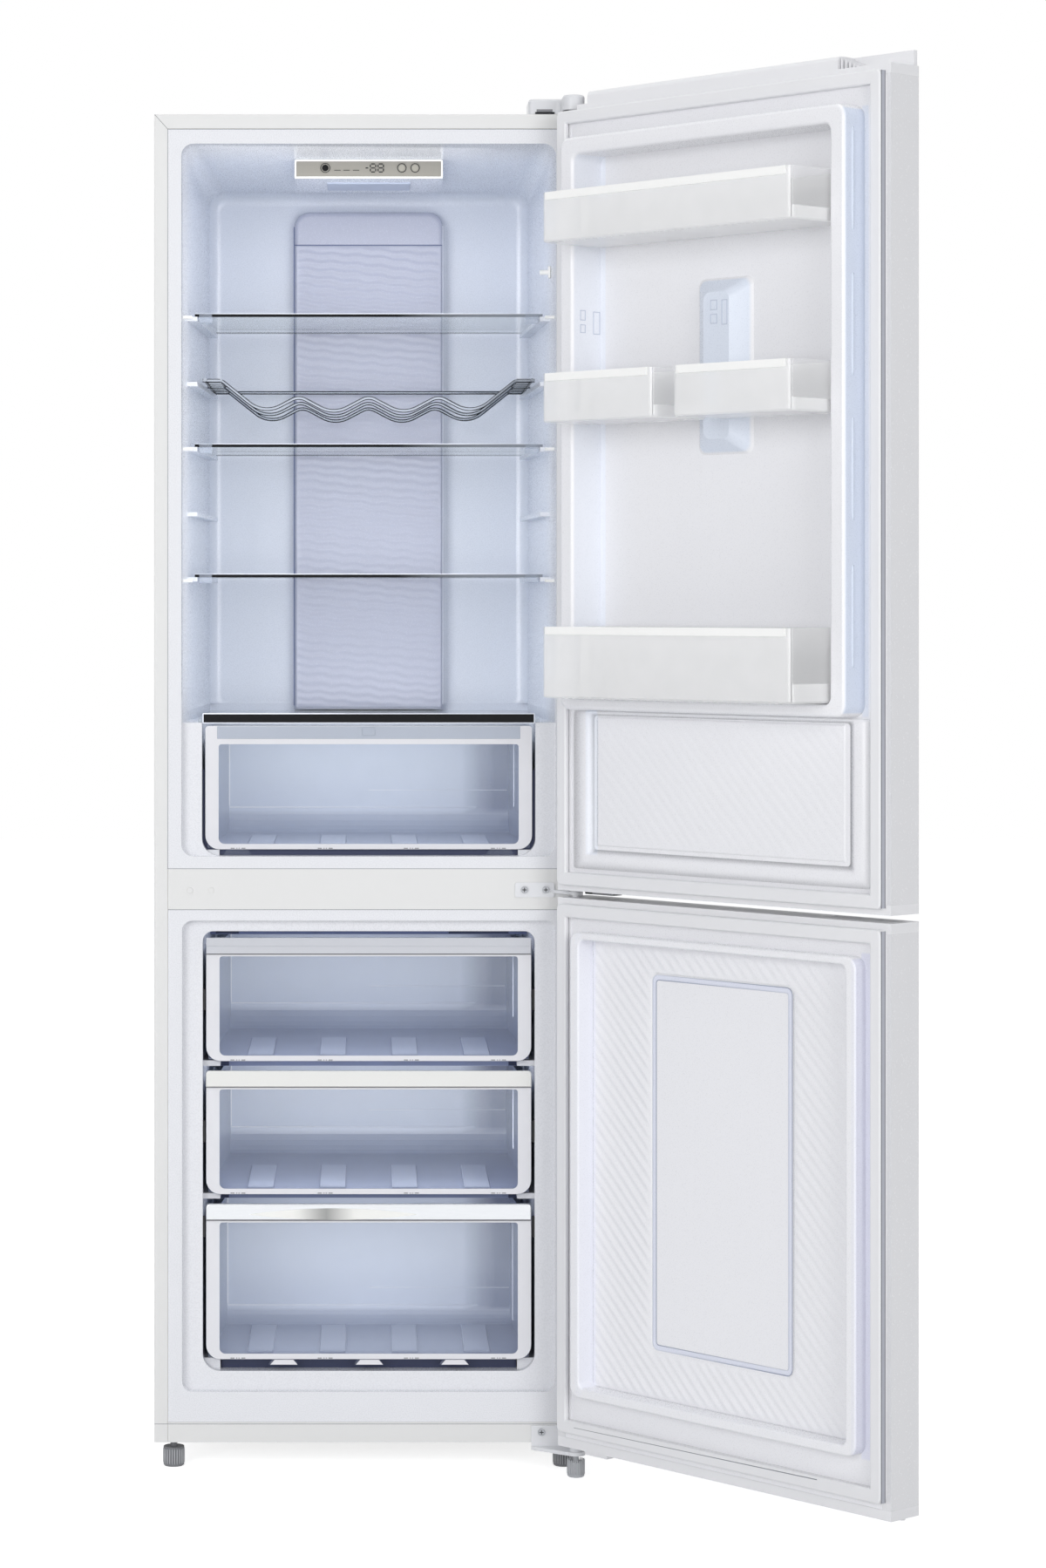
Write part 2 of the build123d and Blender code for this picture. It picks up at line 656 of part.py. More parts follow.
with BuildPart() as control_housing:
    with BuildSketch(Plane.YZ):
        with BuildLine():
            Polyline(
                (BOX_Y[0], roof_z(BOX_Y[0]) - BOX_H),
                (BOX_Y[1], roof_z(BOX_Y[1]) - BOX_H + 8),
                (BOX_Y[1], roof_z(BOX_Y[1]) - 0.3),
                (BOX_Y[0], roof_z(BOX_Y[0]) - 0.3),
                close=True,
            )
        make_face()
    extrude(amount=BOX_HALF, both=True)
    fillet(control_housing.edges().filter_by(Axis.X).group_by(Axis.Y)[-1], 3)
    with BuildSketch(Plane.YZ):
        with BuildLine():
            Polyline(
                (BOX_Y[0], roof_z(BOX_Y[0]) - BOX_H + BOX_T),
                (BOX_Y[1] - BOX_T, roof_z(BOX_Y[1]) - BOX_H + 8 + BOX_T),
                (BOX_Y[1] - BOX_T, roof_z(BOX_Y[1]) - 0.3 - BOX_T),
                (BOX_Y[0], roof_z(BOX_Y[0]) - 0.3 - BOX_T),
                close=True,
            )
        make_face()
    extrude(amount=BOX_HALF - BOX_T, both=True, mode=Mode.SUBTRACT)
    block(
        both(LENS_HALF),
        LENS_Y,
        (roof_z(BOX_Y[1]) - 2 * BOX_H, roof_z(BOX_Y[1]) - BOX_H / 2),
        mode=Mode.SUBTRACT,
    )
write(control_housing, "control_housing")

with BuildPart() as control_fascia:
    fascia_z = (roof_z(BOX_Y[0]) - BOX_H, roof_z(BOX_Y[0]) - 0.3)
    slab(both(BOX_HALF), (BOX_Y[0] - FASCIA_T, BOX_Y[0]), fascia_z, 2.5)
    slab(
        DISPLAY_X,
        (BOX_Y[0] - FASCIA_T - 0.5, BOX_Y[0] - FASCIA_T),
        (BUTTON_Z - 7, BUTTON_Z + 7),
        1.5,
    )
    for x in BUTTON_X:
        deep_rod(x, (BOX_Y[0] - FASCIA_T - 0.8, BOX_Y[0] - 0.1), BUTTON_Z, BUTTON_R + 2.3)
        deep_rod(
            x,
            (BOX_Y[0] - 5, BOX_Y[0] + 5),
            BUTTON_Z,
            BUTTON_R + BUTTON_FIT,
            mode=Mode.SUBTRACT,
        )
write(control_fascia, "control_fascia")

for x, name in zip(BUTTON_X, ("button_left", "button_middle", "button_right")):
    with BuildPart() as button:
        deep_rod(x, (BOX_Y[0] - FASCIA_T - BUTTON_OUT, BOX_Y[0] + 1.5), BUTTON_Z, BUTTON_R)
        fillet(button.faces().sort_by(Axis.Y)[0].edges(), 0.6)
        deep_rod(x, (BOX_Y[0] + RUN_GAP, BOX_Y[0] + 1.5), BUTTON_Z, BUTTON_R + 1.2)
    write(button, name)

with BuildPart() as lamp_lens:
    lens_slope = (ROOF_DROP / FRIDGE_D) - 8 / (BOX_Y[1] - BOX_Y[0])

    def under(y):
        """Height of the box's underside at depth y."""
        return roof_z(BOX_Y[0]) - BOX_H - lens_slope * (y - BOX_Y[0])

    with BuildSketch(Plane.YZ):
        with BuildLine():
            Polyline(
                (LENS_Y[0] + 0.2, under(LENS_Y[0]) - 2.5),
                (LENS_Y[1] - 0.2, under(LENS_Y[1]) - 2.5),
                (LENS_Y[1] - 0.2, under(LENS_Y[1]) + BOX_T),
                (LENS_Y[0] + 0.2, under(LENS_Y[0]) + BOX_T),
                close=True,
            )
        make_face()
    extrude(amount=LENS_HALF - 0.2, both=True)
    fillet(lamp_lens.faces().sort_by(Axis.Z)[0].edges(), 2)
write(lamp_lens, "lamp_lens")

# ---------------------------------------------------------------- shelves
with BuildPart() as glass_shelves:
    for level in SHELF_Z:
        with BuildSketch(Plane.XY.offset(level)):
            with BuildLine():
                Polyline(
                    (-(wall_x(SHELF_Y) - SHELF_GAP), SHELF_Y),
                    (wall_x(SHELF_Y) - SHELF_GAP, SHELF_Y),
                    (wall_x(SHELF_Y + SHELF_D) - SHELF_GAP, SHELF_Y + SHELF_D),
                    (-(wall_x(SHELF_Y + SHELF_D) - SHELF_GAP), SHELF_Y + SHELF_D),
                    close=True,
                )
            make_face()
        extrude(amount=SHELF_T)
    fillet(glass_shelves.edges().filter_by(Axis.X).group_by(Axis.Y)[0], 1.5)
write(glass_shelves, "glass_shelves")

with BuildPart() as shelf_brackets:
    for level in SHELF_Z:
        for side in (-1, 1):
            outer_x = wall_x(SHELF_Y + 30) - LEDGE_W - 1
            clip = sorted((side * outer_x, side * (outer_x - CLIP_W)))
            block(clip, (SHELF_Y - 2, SHELF_Y + 30), (level - CLIP_H, level))
            block(clip, (SHELF_Y - 2, SHELF_Y - 0.2), (level - CLIP_H, level + SHELF_T))
    fillet(shelf_brackets.edges().filter_by(Axis.X).group_by(Axis.Y)[-1], 3)
write(shelf_brackets, "shelf_brackets")

# ---------------------------------------------------------------- wine rack
rack_half = wall_x(SHELF_Y + SHELF_D) - 6
rack_ys = [SHELF_Y + 10 + i * (SHELF_D - 40) / (RACK_RUNS - 1) for i in range(RACK_RUNS)]
rack_pitch = (rack_half - RACK_FLANK - RACK_END) / 1.5
wire_top = RACK_Z + WIRE_R + 0.1
rail_z = wire_top + RAIL_LIFT


def rack_wave():
    """Corner points of one wave: level ends, four troughs and three crests."""
    points = [(-rack_half, wire_top), (-1.5 * rack_pitch - RACK_FLANK, wire_top)]
    for i in range(4):
        points.append(((i - 1.5) * rack_pitch, wire_top - RACK_DIP))
        if i < 3:
            points.append(((i - 1) * rack_pitch, wire_top - RACK_DIP + RACK_CREST))
    points += [(1.5 * rack_pitch + RACK_FLANK, wire_top), (rack_half, wire_top)]
    return points


with BuildPart() as wine_rack:
    for rack_y in rack_ys:
        with BuildLine(front_plane(rack_y)) as wave:
            bends = [12] + [RACK_TROUGH_R, RACK_CREST_R] * 3 + [RACK_TROUGH_R, 12]
            FilletPolyline(*rack_wave(), radius=bends)
        with BuildSketch(Plane(wave.line @ 0, z_dir=wave.line % 0)):
            Circle(WIRE_R)
        sweep(path=wave.line)
    for side in (-1, 1):
        rail_x = side * (rack_half - 4)
        deep_rod(rail_x, (SHELF_Y, SHELF_Y + SHELF_D - 15), rail_z, WIRE_R)
    level_rod(both(rack_half - 4), SHELF_Y + SHELF_D - 15, rail_z, WIRE_R)
write(wine_rack, "wine_rack")

# ---------------------------------------------------------------- crisper cover
cover_half = CRISPER_HALF + 6.0
with BuildPart() as crisper_cover_glass:
    block(
        both(cover_half),
        (COVER_Y + TRIM_D / 2, FRIDGE_D - REAR_R - 2),
        (COVER_LOW + 0.1, COVER_LOW + COVER_T),
    )
write(crisper_cover_glass, "crisper_cover_glass")

with BuildPart() as crisper_cover_trim:
    block(
        both(cover_half - 8),
        (COVER_Y - TRIM_D / 2, COVER_Y + TRIM_D / 2),
        (COVER_LOW, COVER_LOW + TRIM_H),
    )
    block(
        both(cover_half - 8),
        (COVER_Y, COVER_Y + TRIM_D + 6),
        (COVER_LOW + COVER_T + 0.2, COVER_LOW + COVER_T + 2.5),
    )
    fillet(crisper_cover_trim.edges().filter_by(Axis.X).group_by(Axis.Y)[0], 1.5)
write(crisper_cover_trim, "crisper_cover_trim")

# ---------------------------------------------------------------- temperature probe
PROBE_Y = 88.0
PROBE_Z = FRIDGE_HIGH - 171.0
PROBE_L = 15.0
with BuildPart() as temperature_sensor:
    probe_x = wall_x(PROBE_Y + 8)
    block((probe_x - 3, probe_x), (PROBE_Y - 8, PROBE_Y + 8), (PROBE_Z - 8, PROBE_Z + 8))
    level_rod((probe_x - PROBE_L, probe_x - 1), PROBE_Y, PROBE_Z, 3.4)
    fillet(temperature_sensor.faces().sort_by(Axis.X)[0].edges(), 1.5)
write(temperature_sensor, "temperature_sensor")

# ---------------------------------------------------------------- evaporator, its cover and fan
EVAP_COVER_Y = FREEZER_D - 78.0
EVAP_COVER_T = 3.0
FAN_Z = FREEZER_HIGH - 95.0
FAN_R = 52.0
FAN_Y = EVAP_COVER_Y + 18.0
MOTOR_Y = (FREEZER_D - 34.0, FREEZER_D)
SHAFT_R = 2.0
with BuildPart() as evaporator_cover:
    slab(
        both(FREEZER_HALF - 0.5),
        (EVAP_COVER_Y, EVAP_COVER_Y + EVAP_COVER_T),
        (STEP_TOP + 0.5, FREEZER_HIGH - 0.5),
        FREEZER_R,
    )
    for side in (-1, 1):
        rim = sorted((side * (FREEZER_HALF - 0.5), side * (FREEZER_HALF - 3)))
        block(
            rim,
            (EVAP_COVER_Y, FREEZER_D - 0.2),
            (STEP_TOP + 20, FREEZER_HIGH - 20),
        )
    deep_rod(0, (EVAP_COVER_Y - 1, EVAP_COVER_Y + 10), FAN_Z, FAN_R + 4, mode=Mode.SUBTRACT)
    for ring in (16, 28, 40):
        with Locations((0, EVAP_COVER_Y + EVAP_COVER_T / 2, FAN_Z)):
            Cylinder(ring + 2.5, EVAP_COVER_T, rotation=(90, 0, 0))
        deep_rod(0, (EVAP_COVER_Y - 1, EVAP_COVER_Y + 10), FAN_Z, ring, mode=Mode.SUBTRACT)
    for angle in (0, 45, 90, 135):
        with Locations(Location((0, EVAP_COVER_Y + EVAP_COVER_T / 2, FAN_Z), (0, angle, 0))):
            Box(2 * FAN_R + 10, EVAP_COVER_T, 3)
    with Locations((0, EVAP_COVER_Y + EVAP_COVER_T / 2, FAN_Z)):
        Cylinder(14, EVAP_COVER_T, rotation=(90, 0, 0))
    with BuildSketch(front_plane(EVAP_COVER_Y)):
        with Locations((0, STEP_TOP + 30)):
            with GridLocations(22, 1, 16, 1):
                SlotOverall(26, 6, rotation=90)
    extrude(amount=-EVAP_COVER_T, mode=Mode.SUBTRACT)
write(evaporator_cover, "evaporator_cover")

EVAP_HALF = 190.0
EVAP_Y = (FREEZER_D - 60.0, FREEZER_D - 8.0)
EVAP_Z = (STEP_TOP + 40.0, FAN_Z - FAN_R - 30.0)
EVAP_FINS = 24
EVAP_ROWS = 5
TUBE_R = 4.0
with BuildPart() as evaporator:
    fin_pitch = 2 * EVAP_HALF / (EVAP_FINS - 1)
    for i in range(EVAP_FINS):
        fin_x = -EVAP_HALF + i * fin_pitch
        block((fin_x - 0.5, fin_x + 0.5), EVAP_Y, EVAP_Z)
    row_pitch = (EVAP_Z[1] - EVAP_Z[0]) / EVAP_ROWS
    tube_ys = (EVAP_Y[0] + 14, EVAP_Y[1] - 14)
    for row in range(EVAP_ROWS):
        tube_z = EVAP_Z[0] + (row + 0.5) * row_pitch
        for tube_y in tube_ys:
            level_rod(both(EVAP_HALF + 12), tube_y, tube_z, TUBE_R)
        for side in (-1, 1):
            block(
                sorted((side * (EVAP_HALF + 8), side * (EVAP_HALF + 16))),
                (tube_ys[0] - TUBE_R, tube_ys[1] + TUBE_R),
                (tube_z - TUBE_R, tube_z + TUBE_R),
            )
    # two feet stand the coil on the step over the machine bay, clear of the liner's wall
    for side in (-1, 1):
        foot = sorted((side * (EVAP_HALF - 60), side * (EVAP_HALF - 90)))
        block(foot, (EVAP_Y[0] + 5, EVAP_Y[1] - 5), (STEP_TOP + RUN_GAP, EVAP_Z[0] + 1))
write(evaporator, "evaporator")

with BuildPart() as fan_motor:
    deep_rod(0, MOTOR_Y, FAN_Z, 20)
    fillet(fan_motor.faces().sort_by(Axis.Y)[0].edges(), 3)
    block(both(34), (MOTOR_Y[1] - 6, MOTOR_Y[1]), (FAN_Z - 8, FAN_Z + 8))
    deep_rod(0, (MOTOR_Y[0] - 1, MOTOR_Y[1] - 8), FAN_Z, SHAFT_R + PIN_FIT, mode=Mode.SUBTRACT)
write(fan_motor, "fan_motor")

with BuildPart() as fan_rotor:
    deep_rod(0, (FAN_Y, MOTOR_Y[0] - 1), FAN_Z, 15)
    deep_rod(0, (FAN_Y + 5, MOTOR_Y[1] - 12), FAN_Z, SHAFT_R)
    for i in range(5):
        blade = Location((0, (FAN_Y + MOTOR_Y[0]) / 2, FAN_Z), (0, 72 * i, 0))
        with Locations(blade * Location((FAN_R / 2 + 4, 0, 0), (32, 0, 0))):
            Box(FAN_R - 14, 1.6, 30)
write(fan_rotor, "fan_rotor")

# ---------------------------------------------------------------- machine bay parts
COMP_X = 120.0
COMP_Y = BAY_FRONT + 98.0
COMP_R = 72.0
COMP_H = 142.0
GROMMET_H = 14.0
COMP_BASE_Z = CAB_LOW + PLATE_T + GROMMET_H
with BuildPart() as compressor:
    block(
        (COMP_X - 105, COMP_X + 105),
        (COMP_Y - 70, COMP_Y + 70),
        (COMP_BASE_Z, COMP_BASE_Z + 3),
    )
    for dx in (-90, 90):
        for dy in (-55, 55):
            upright(
                COMP_X + dx,
                COMP_Y + dy,
                (COMP_BASE_Z - 1, COMP_BASE_Z + 5),
                5.2,
                mode=Mode.SUBTRACT,
            )
    with BuildSketch(Plane(origin=(COMP_X, COMP_Y, COMP_BASE_Z), x_dir=(1, 0, 0), z_dir=(0, -1, 0))):
        with BuildLine():
            half_can = FilletPolyline(
                (0, 3),
                (COMP_R - 6, 3),
                (COMP_R, COMP_H - 36),
                (COMP_R - 30, COMP_H - 6),
                (0, COMP_H),
                radius=[16, 26, 60],
            )
            Line(half_can @ 1, half_can @ 0)
        make_face()
    revolve(axis=Axis((COMP_X, COMP_Y, 0), (0, 0, 1)))
    upright(COMP_X, COMP_Y, (COMP_BASE_Z + 66, COMP_BASE_Z + 72), COMP_R + 3)
    # terminal cover on the side and three stub pipes
    block(
        (COMP_X - COMP_R - 22, COMP_X - COMP_R + 12),
        (COMP_Y - 24, COMP_Y + 24),
        (COMP_BASE_Z + 22, COMP_BASE_Z + 64),
    )
    for dy in (-30, 30):
        level_rod(
            (COMP_X + COMP_R - 20, COMP_X + COMP_R + 24),
            COMP_Y + dy,
            COMP_BASE_Z + 84,
            3.2,
        )
write(compressor, "compressor")

TRAY_T = 2.0
TRAY_H = 26.0
tray_low = COMP_BASE_Z + COMP_H + 0.3
with BuildPart() as drain_tray:
    block(
        (COMP_X - 70, COMP_X + 70),
        (SPOUT_Y - 16, SPOUT_Y + 120),
        (tray_low, tray_low + TRAY_H),
    )
    fillet(drain_tray.edges().filter_by(Axis.Z), 12)
    block(
        (COMP_X - 70 + TRAY_T, COMP_X + 70 - TRAY_T),
        (SPOUT_Y - 16 + TRAY_T, SPOUT_Y + 120 - TRAY_T),
        (tray_low + TRAY_T, tray_low + TRAY_H),
        mode=Mode.SUBTRACT,
    )
    upright(SPOUT_X, SPOUT_Y, (tray_low + TRAY_H - 8, STEP_TOP), SPOUT_R - 0.1)
    upright(SPOUT_X, SPOUT_Y, (STEP_TOP, STEP_TOP + 1.5), SPOUT_R + 4)
    upright(
        SPOUT_X,
        SPOUT_Y,
        (tray_low + TRAY_H - 9, STEP_TOP + 2),
        SPOUT_R - 2,
        mode=Mode.SUBTRACT,
    )
write(drain_tray, "drain_tray")

with BuildPart() as rubber_grommets:
    for dx in (-90, 90):
        for dy in (-55, 55):
            upright(
                COMP_X + dx,
                COMP_Y + dy,
                (CAB_LOW + PLATE_T, COMP_BASE_Z),
                11,
            )
            upright(COMP_X + dx, COMP_Y + dy, (COMP_BASE_Z - 1, COMP_BASE_Z + 6), 5)
            upright(COMP_X + dx, COMP_Y + dy, (COMP_BASE_Z + 3.2, COMP_BASE_Z + 6), 8)
    deep_rod(GLAND_X, (CAB_D - 6, CAB_D + 8), GLAND_Z, GLAND_R - 0.1)
    deep_rod(GLAND_X, (CAB_D, CAB_D + 3), GLAND_Z, GLAND_R + 4)
    deep_rod(GLAND_X, (CAB_D - 10, CAB_D + 10), GLAND_Z, 4, mode=Mode.SUBTRACT)
write(rubber_grommets, "rubber_grommets")

PIPE_R = 2.4
PIPE_RUNS = 6
PIPE_PITCH = 72.0
PIPE_Y = 90.0
PIPE_Z = (BAY_TOP + 90.0, CAB_TOP - 120.0)


def pipe_loop():
    """Corner points of the condenser's loop on one side sheet, as (Y, Z)."""
    points = []
    for i in range(PIPE_RUNS):
        ends = PIPE_Z if i % 2 == 0 else PIPE_Z[::-1]
        points += [(PIPE_Y + i * PIPE_PITCH, ends[0]), (PIPE_Y + i * PIPE_PITCH, ends[1])]
    return points


with BuildPart() as condenser:
    for side in (-1, 1):
        pipe_x = side * (HALF - SHEET - PIPE_R - 0.1)
        with BuildLine(Plane.YZ.offset(pipe_x)) as loop:
            FilletPolyline(*pipe_loop(), radius=PIPE_PITCH * 0.45)
        with BuildSketch(Plane(loop.line @ 0, z_dir=loop.line % 0)):
            Circle(PIPE_R)
        sweep(path=loop.line)
write(condenser, "condenser")

# ---------------------------------------------------------------- hinges
COLLAR_R = 9.0
TOP_PLATE_T = 3.0
TOP_PLATE_X = (HALF - 72.0, HALF - 6.0)
with BuildPart() as top_hinge:
    with BuildSketch(Plane.XY.offset(CAB_TOP)):
        with Locations(((TOP_PLATE_X[0] + TOP_PLATE_X[1]) / 2, 32)):
            RectangleRounded(TOP_PLATE_X[1] - TOP_PLATE_X[0], 56, 6)
        with Locations((AXIS_X - 2, AXIS_Y / 2 + 6)):
            Rectangle(15, -AXIS_Y + 12)
        with Locations((AXIS_X, AXIS_Y)):
            Circle(9.5)
    extrude(amount=TOP_PLATE_T)
    for x, y in TOP_SCREWS:
        upright(x, y, (CAB_TOP - 1, CAB_TOP + 5), SCREW_R + SCREW_FIT, mode=Mode.SUBTRACT)
    upright(AXIS_X, AXIS_Y, (CAB_TOP - 4 - PIN_IN, CAB_TOP + TOP_PLATE_T), PIN_R)
write(top_hinge, "top_hinge")

HINGE_COVER_H = 21.0
HINGE_COVER_T = 2.0
cover_top = CAB_TOP + HINGE_COVER_H


def hinge_cover_outline(shrink):
    """The cover's plan: wide over the plate, narrow over the arm, round at the pin."""
    right = HALF - shrink
    arm = HALF - 31 + shrink
    left = HALF - 76 + shrink
    with BuildSketch(Plane.XY.offset(CAB_TOP + 0.2)) as outline:
        with BuildLine():
            sides = Polyline(
                (arm, AXIS_Y),
                (arm, 1 + shrink),
                (left, 1 + shrink),
                (left, 65 - shrink),
                (right, 65 - shrink),
                (right, AXIS_Y),
            )
            RadiusArc(sides @ 1, sides @ 0, (right - arm) / 2)
        make_face()
        fillet(outline.vertices().sort_by(Axis.Y)[2:], 7 - shrink)
    return outline.sketch


with BuildPart() as top_hinge_cover:
    extrude(hinge_cover_outline(0), amount=HINGE_COVER_H)
    fillet(top_hinge_cover.faces().sort_by(Axis.Z)[-1].edges(), 4)
    extrude(
        hinge_cover_outline(HINGE_COVER_T),
        amount=HINGE_COVER_H - HINGE_COVER_T - 0.2,
        mode=Mode.SUBTRACT,
    )
write(top_hinge_cover, "top_hinge_cover")

ARM_Z = (MID_GAP - ARM_T / 2, MID_GAP + ARM_T / 2)
MID_PLATE_T = 3.0
with BuildPart() as middle_hinge:
    slab(
        (HALF - 94.5, HALF - 40),
        (-MID_PLATE_T, 0),
        (MID_GAP - 8.5, MID_GAP + 12),
        3,
    )
    with BuildSketch(Plane.XY.offset(ARM_Z[0])):
        with BuildLine():
            Polyline(
                (HALF - 46, 0),
                (HALF - 46, -MID_PLATE_T),
                (AXIS_X - 9, AXIS_Y - 2),
                (AXIS_X + 4, AXIS_Y - 8),
                (AXIS_X + 8, AXIS_Y + 4),
                (HALF - 14, -MID_PLATE_T - 4),
                (HALF - 20, 0),
                close=True,
            )
        make_face()
        with Locations((AXIS_X, AXIS_Y)):
            Circle(COLLAR_R)
    extrude(amount=ARM_T)
    for x, z in MID_SCREWS:
        deep_rod(x, (-5, 1), z, SCREW_R + SCREW_FIT, mode=Mode.SUBTRACT)
    upright(AXIS_X, AXIS_Y, (LOWER_Z[1] - PIN_IN, UPPER_Z[0] + PIN_IN), PIN_R)
    upright(AXIS_X, AXIS_Y, (ARM_Z[1] - 1, UPPER_Z[0] - RUN_GAP), COLLAR_R - 1)
write(middle_hinge, "middle_hinge")

with BuildPart() as bottom_hinge:
    block(
        (HALF - 72, HALF - 16),
        (-MID_PLATE_T, 0),
        (BRACKET_Z[0], CAB_LOW + 24),
    )
    with BuildSketch(Plane.XY.offset(BRACKET_Z[0])):
        with BuildLine():
            Polyline(
                (HALF - 72, 0),
                (HALF - 72, -MID_PLATE_T - 4),
                (AXIS_X - 14, AXIS_Y - 6),
                (AXIS_X + 6, AXIS_Y - 11),
                (HALF - 2, AXIS_Y + 4),
                (HALF - 6, 0),
                close=True,
            )
        make_face()
        with Locations((AXIS_X, AXIS_Y)):
            Circle(COLLAR_R + 4)
    extrude(amount=BRACKET_Z[1] - BRACKET_Z[0])
    upright(AXIS_X, AXIS_Y, (BRACKET_Z[1] - 1, LOWER_Z[0] - RUN_GAP), COLLAR_R)
    upright(AXIS_X, AXIS_Y, (BRACKET_Z[1], LOWER_Z[0] + PIN_IN), PIN_R)
    upright(AXIS_X, AXIS_Y, (0, BRACKET_Z[1] + 8), STEM_R - 1 + PIN_FIT, mode=Mode.SUBTRACT)
    for x, z in LOW_SCREWS:
        deep_rod(x, (-5, 1), z, SCREW_R + SCREW_FIT, mode=Mode.SUBTRACT)
write(bottom_hinge, "bottom_hinge")

with BuildPart() as screws:
    for x, y in TOP_SCREWS:
        seat = CAB_TOP + TOP_PLATE_T
        upright(x, y, (seat, seat + HEAD_H), HEAD_R)
        upright(x, y, (seat - SCREW_L, seat), SCREW_R)
    for x, z in MID_SCREWS + LOW_SCREWS:
        deep_rod(x, (-MID_PLATE_T - HEAD_H, -MID_PLATE_T), z, HEAD_R)
        deep_rod(x, (-MID_PLATE_T, SCREW_L - MID_PLATE_T), z, SCREW_R)
write(screws, "screws")


# ---------------------------------------------------------------- feet and rollers
def levelling_foot(x, y, radius, stem_top, stem_radius):
    """A fluted foot with its stem, standing on the floor."""
    with BuildPart() as foot:
        upright(x, y, (0, FOOT_CAP_H - 6 if stem_radius < STEM_R else FOOT_CAP_H), radius)
        chamfer(foot.faces().sort_by(Axis.Z)[0].edges(), 1.5)
        with BuildSketch(Plane.XY.offset(4)):
            with Locations((x, y)):
                with PolarLocations(radius + 0.3, FLUTES):
                    Circle(radius * 0.075)
        extrude(amount=FOOT_CAP_H, mode=Mode.SUBTRACT)
        upright(x, y, (5, stem_top), stem_radius)
    return foot


foot_front_left = levelling_foot(-FOOT_X, FOOT_Y, FOOT_R, CAB_LOW + 30, STEM_R)
write(foot_front_left, "foot_front_left")
foot_front_right = levelling_foot(FOOT_X, FOOT_Y, FOOT_R, CAB_LOW + 30, STEM_R)
write(foot_front_right, "foot_front_right")
foot_hinge = levelling_foot(AXIS_X, AXIS_Y, HINGE_FOOT_R, BRACKET_Z[1] + 6, STEM_R - 1)
write(foot_hinge, "foot_hinge")

for side, name in ((-1, "rear_roller_left"), (1, "rear_roller_right")):
    with BuildPart() as roller:
        tread = (side * ROLLER_X - ROLLER_W / 2, side * ROLLER_X + ROLLER_W / 2)
        level_rod(tread, ROLLER_Y, ROLLER_R, ROLLER_R)
        fillet(roller.edges(), 1.5)
        level_rod(tread, ROLLER_Y, ROLLER_R, AXLE_R + PIN_FIT, mode=Mode.SUBTRACT)
    write(roller, name)


# ---------------------------------------------------------------- doors
def door_skin(z, front_top):
    """Painted steel sheet over the front and both sides, folded in behind."""
    with BuildPart() as skin:
        block(both(HALF), (OUTER, INNER), (z[0] + CAP_H, z[1] - CAP_H))
        fillet(skin.edges().filter_by(Axis.Z).group_by(Axis.Y)[0], SKIN_R)
        block(
            both(HALF - SHEET),
            (OUTER + SHEET, INNER - SHEET),
            (z[0] + CAP_H, z[1] - CAP_H),
            mode=Mode.SUBTRACT,
        )
        block(
            both(HALF - SKIN_RETURN),
            (INNER - SHEET, INNER),
            (z[0] + CAP_H, z[1] - CAP_H),
            mode=Mode.SUBTRACT,
        )
        if front_top > z[1]:
            block(both(HALF - SKIN_R), (OUTER, OUTER + SHEET), (z[1] - CAP_H, front_top))
    swing(skin)
    return skin


def door_cap(z, inside_up, pin_z):
    """Moulded end cap: a shallow tray with a boss round the hinge pin."""
    with BuildPart() as cap:
        block(both(HALF), (OUTER, INNER), z)
        fillet(cap.edges().filter_by(Axis.Z).group_by(Axis.Y)[0], SKIN_R)
        pocket = (z[0] + CAP_T, z[1]) if inside_up else (z[0], z[1] - CAP_T)
        block(
            both(HALF - CAP_T),
            (OUTER + CAP_T, INNER - CAP_T),
            pocket,
            mode=Mode.SUBTRACT,
        )
        upright(AXIS_X, AXIS_Y, pin_z, 2 * PIN_R)
        upright(AXIS_X, AXIS_Y, z, 2 * PIN_R)
        upright(
            AXIS_X,
            AXIS_Y,
            (pin_z[0] + (0 if inside_up else 2), pin_z[1] - (2 if inside_up else 0)),
            PIN_R + PIN_FIT,
            mode=Mode.SUBTRACT,
        )
    return cap


def ridge_ring(ridge, y, shrink, mode):
    """The raised frame on a door's inner face, between depths y."""
    out_x, in_x, out_z, in_z = ridge
    with BuildSketch(front_plane(y[0])) as ring:
        with Locations((0, (out_z[0] + out_z[1]) / 2)):
            RectangleRounded(2 * (out_x - shrink), out_z[1] - out_z[0] - 2 * shrink, 16 - shrink)
        with Locations((0, (in_z[0] + in_z[1]) / 2)):
            RectangleRounded(
                2 * (in_x + shrink),
                in_z[1] - in_z[0] + 2 * shrink,
                10 + shrink,
                mode=Mode.SUBTRACT,
            )
    extrude(ring.sketch, amount=-(y[1] - y[0]), mode=mode)


def door_liner(z, ridge, ridge_h, sink):
    """Vacuum-formed inner face: a hollow raised ridge round a sunk floor."""
    out_x, in_x, out_z, in_z = ridge
    wall = DOOR_LINER_T
    with BuildPart() as liner:
        ridge_ring(ridge, (INNER - wall, INNER + ridge_h), 0, Mode.ADD)
        narrow = min(out_x - in_x, in_z[0] - out_z[0], out_z[1] - in_z[1])
        fillet(liner.faces().sort_by(Axis.Y)[-1].edges(), 0.3 * narrow)
        block(
            both(HALF - SKIN_RETURN - SEAM),
            (INNER - wall, INNER),
            (z[0] + CAP_H + SEAM, z[1] - CAP_H - SEAM),
        )
        floor_z = (in_z[0] - wall, in_z[1] + wall)
        slab(both(in_x + wall), (INNER - sink - wall, INNER), floor_z, 10 + wall)
        slab(both(in_x), (INNER - sink, INNER + ridge_h + 1), in_z, 10, mode=Mode.SUBTRACT)
        ridge_ring(ridge, (INNER - wall, INNER + ridge_h - wall), wall, Mode.SUBTRACT)
    return liner


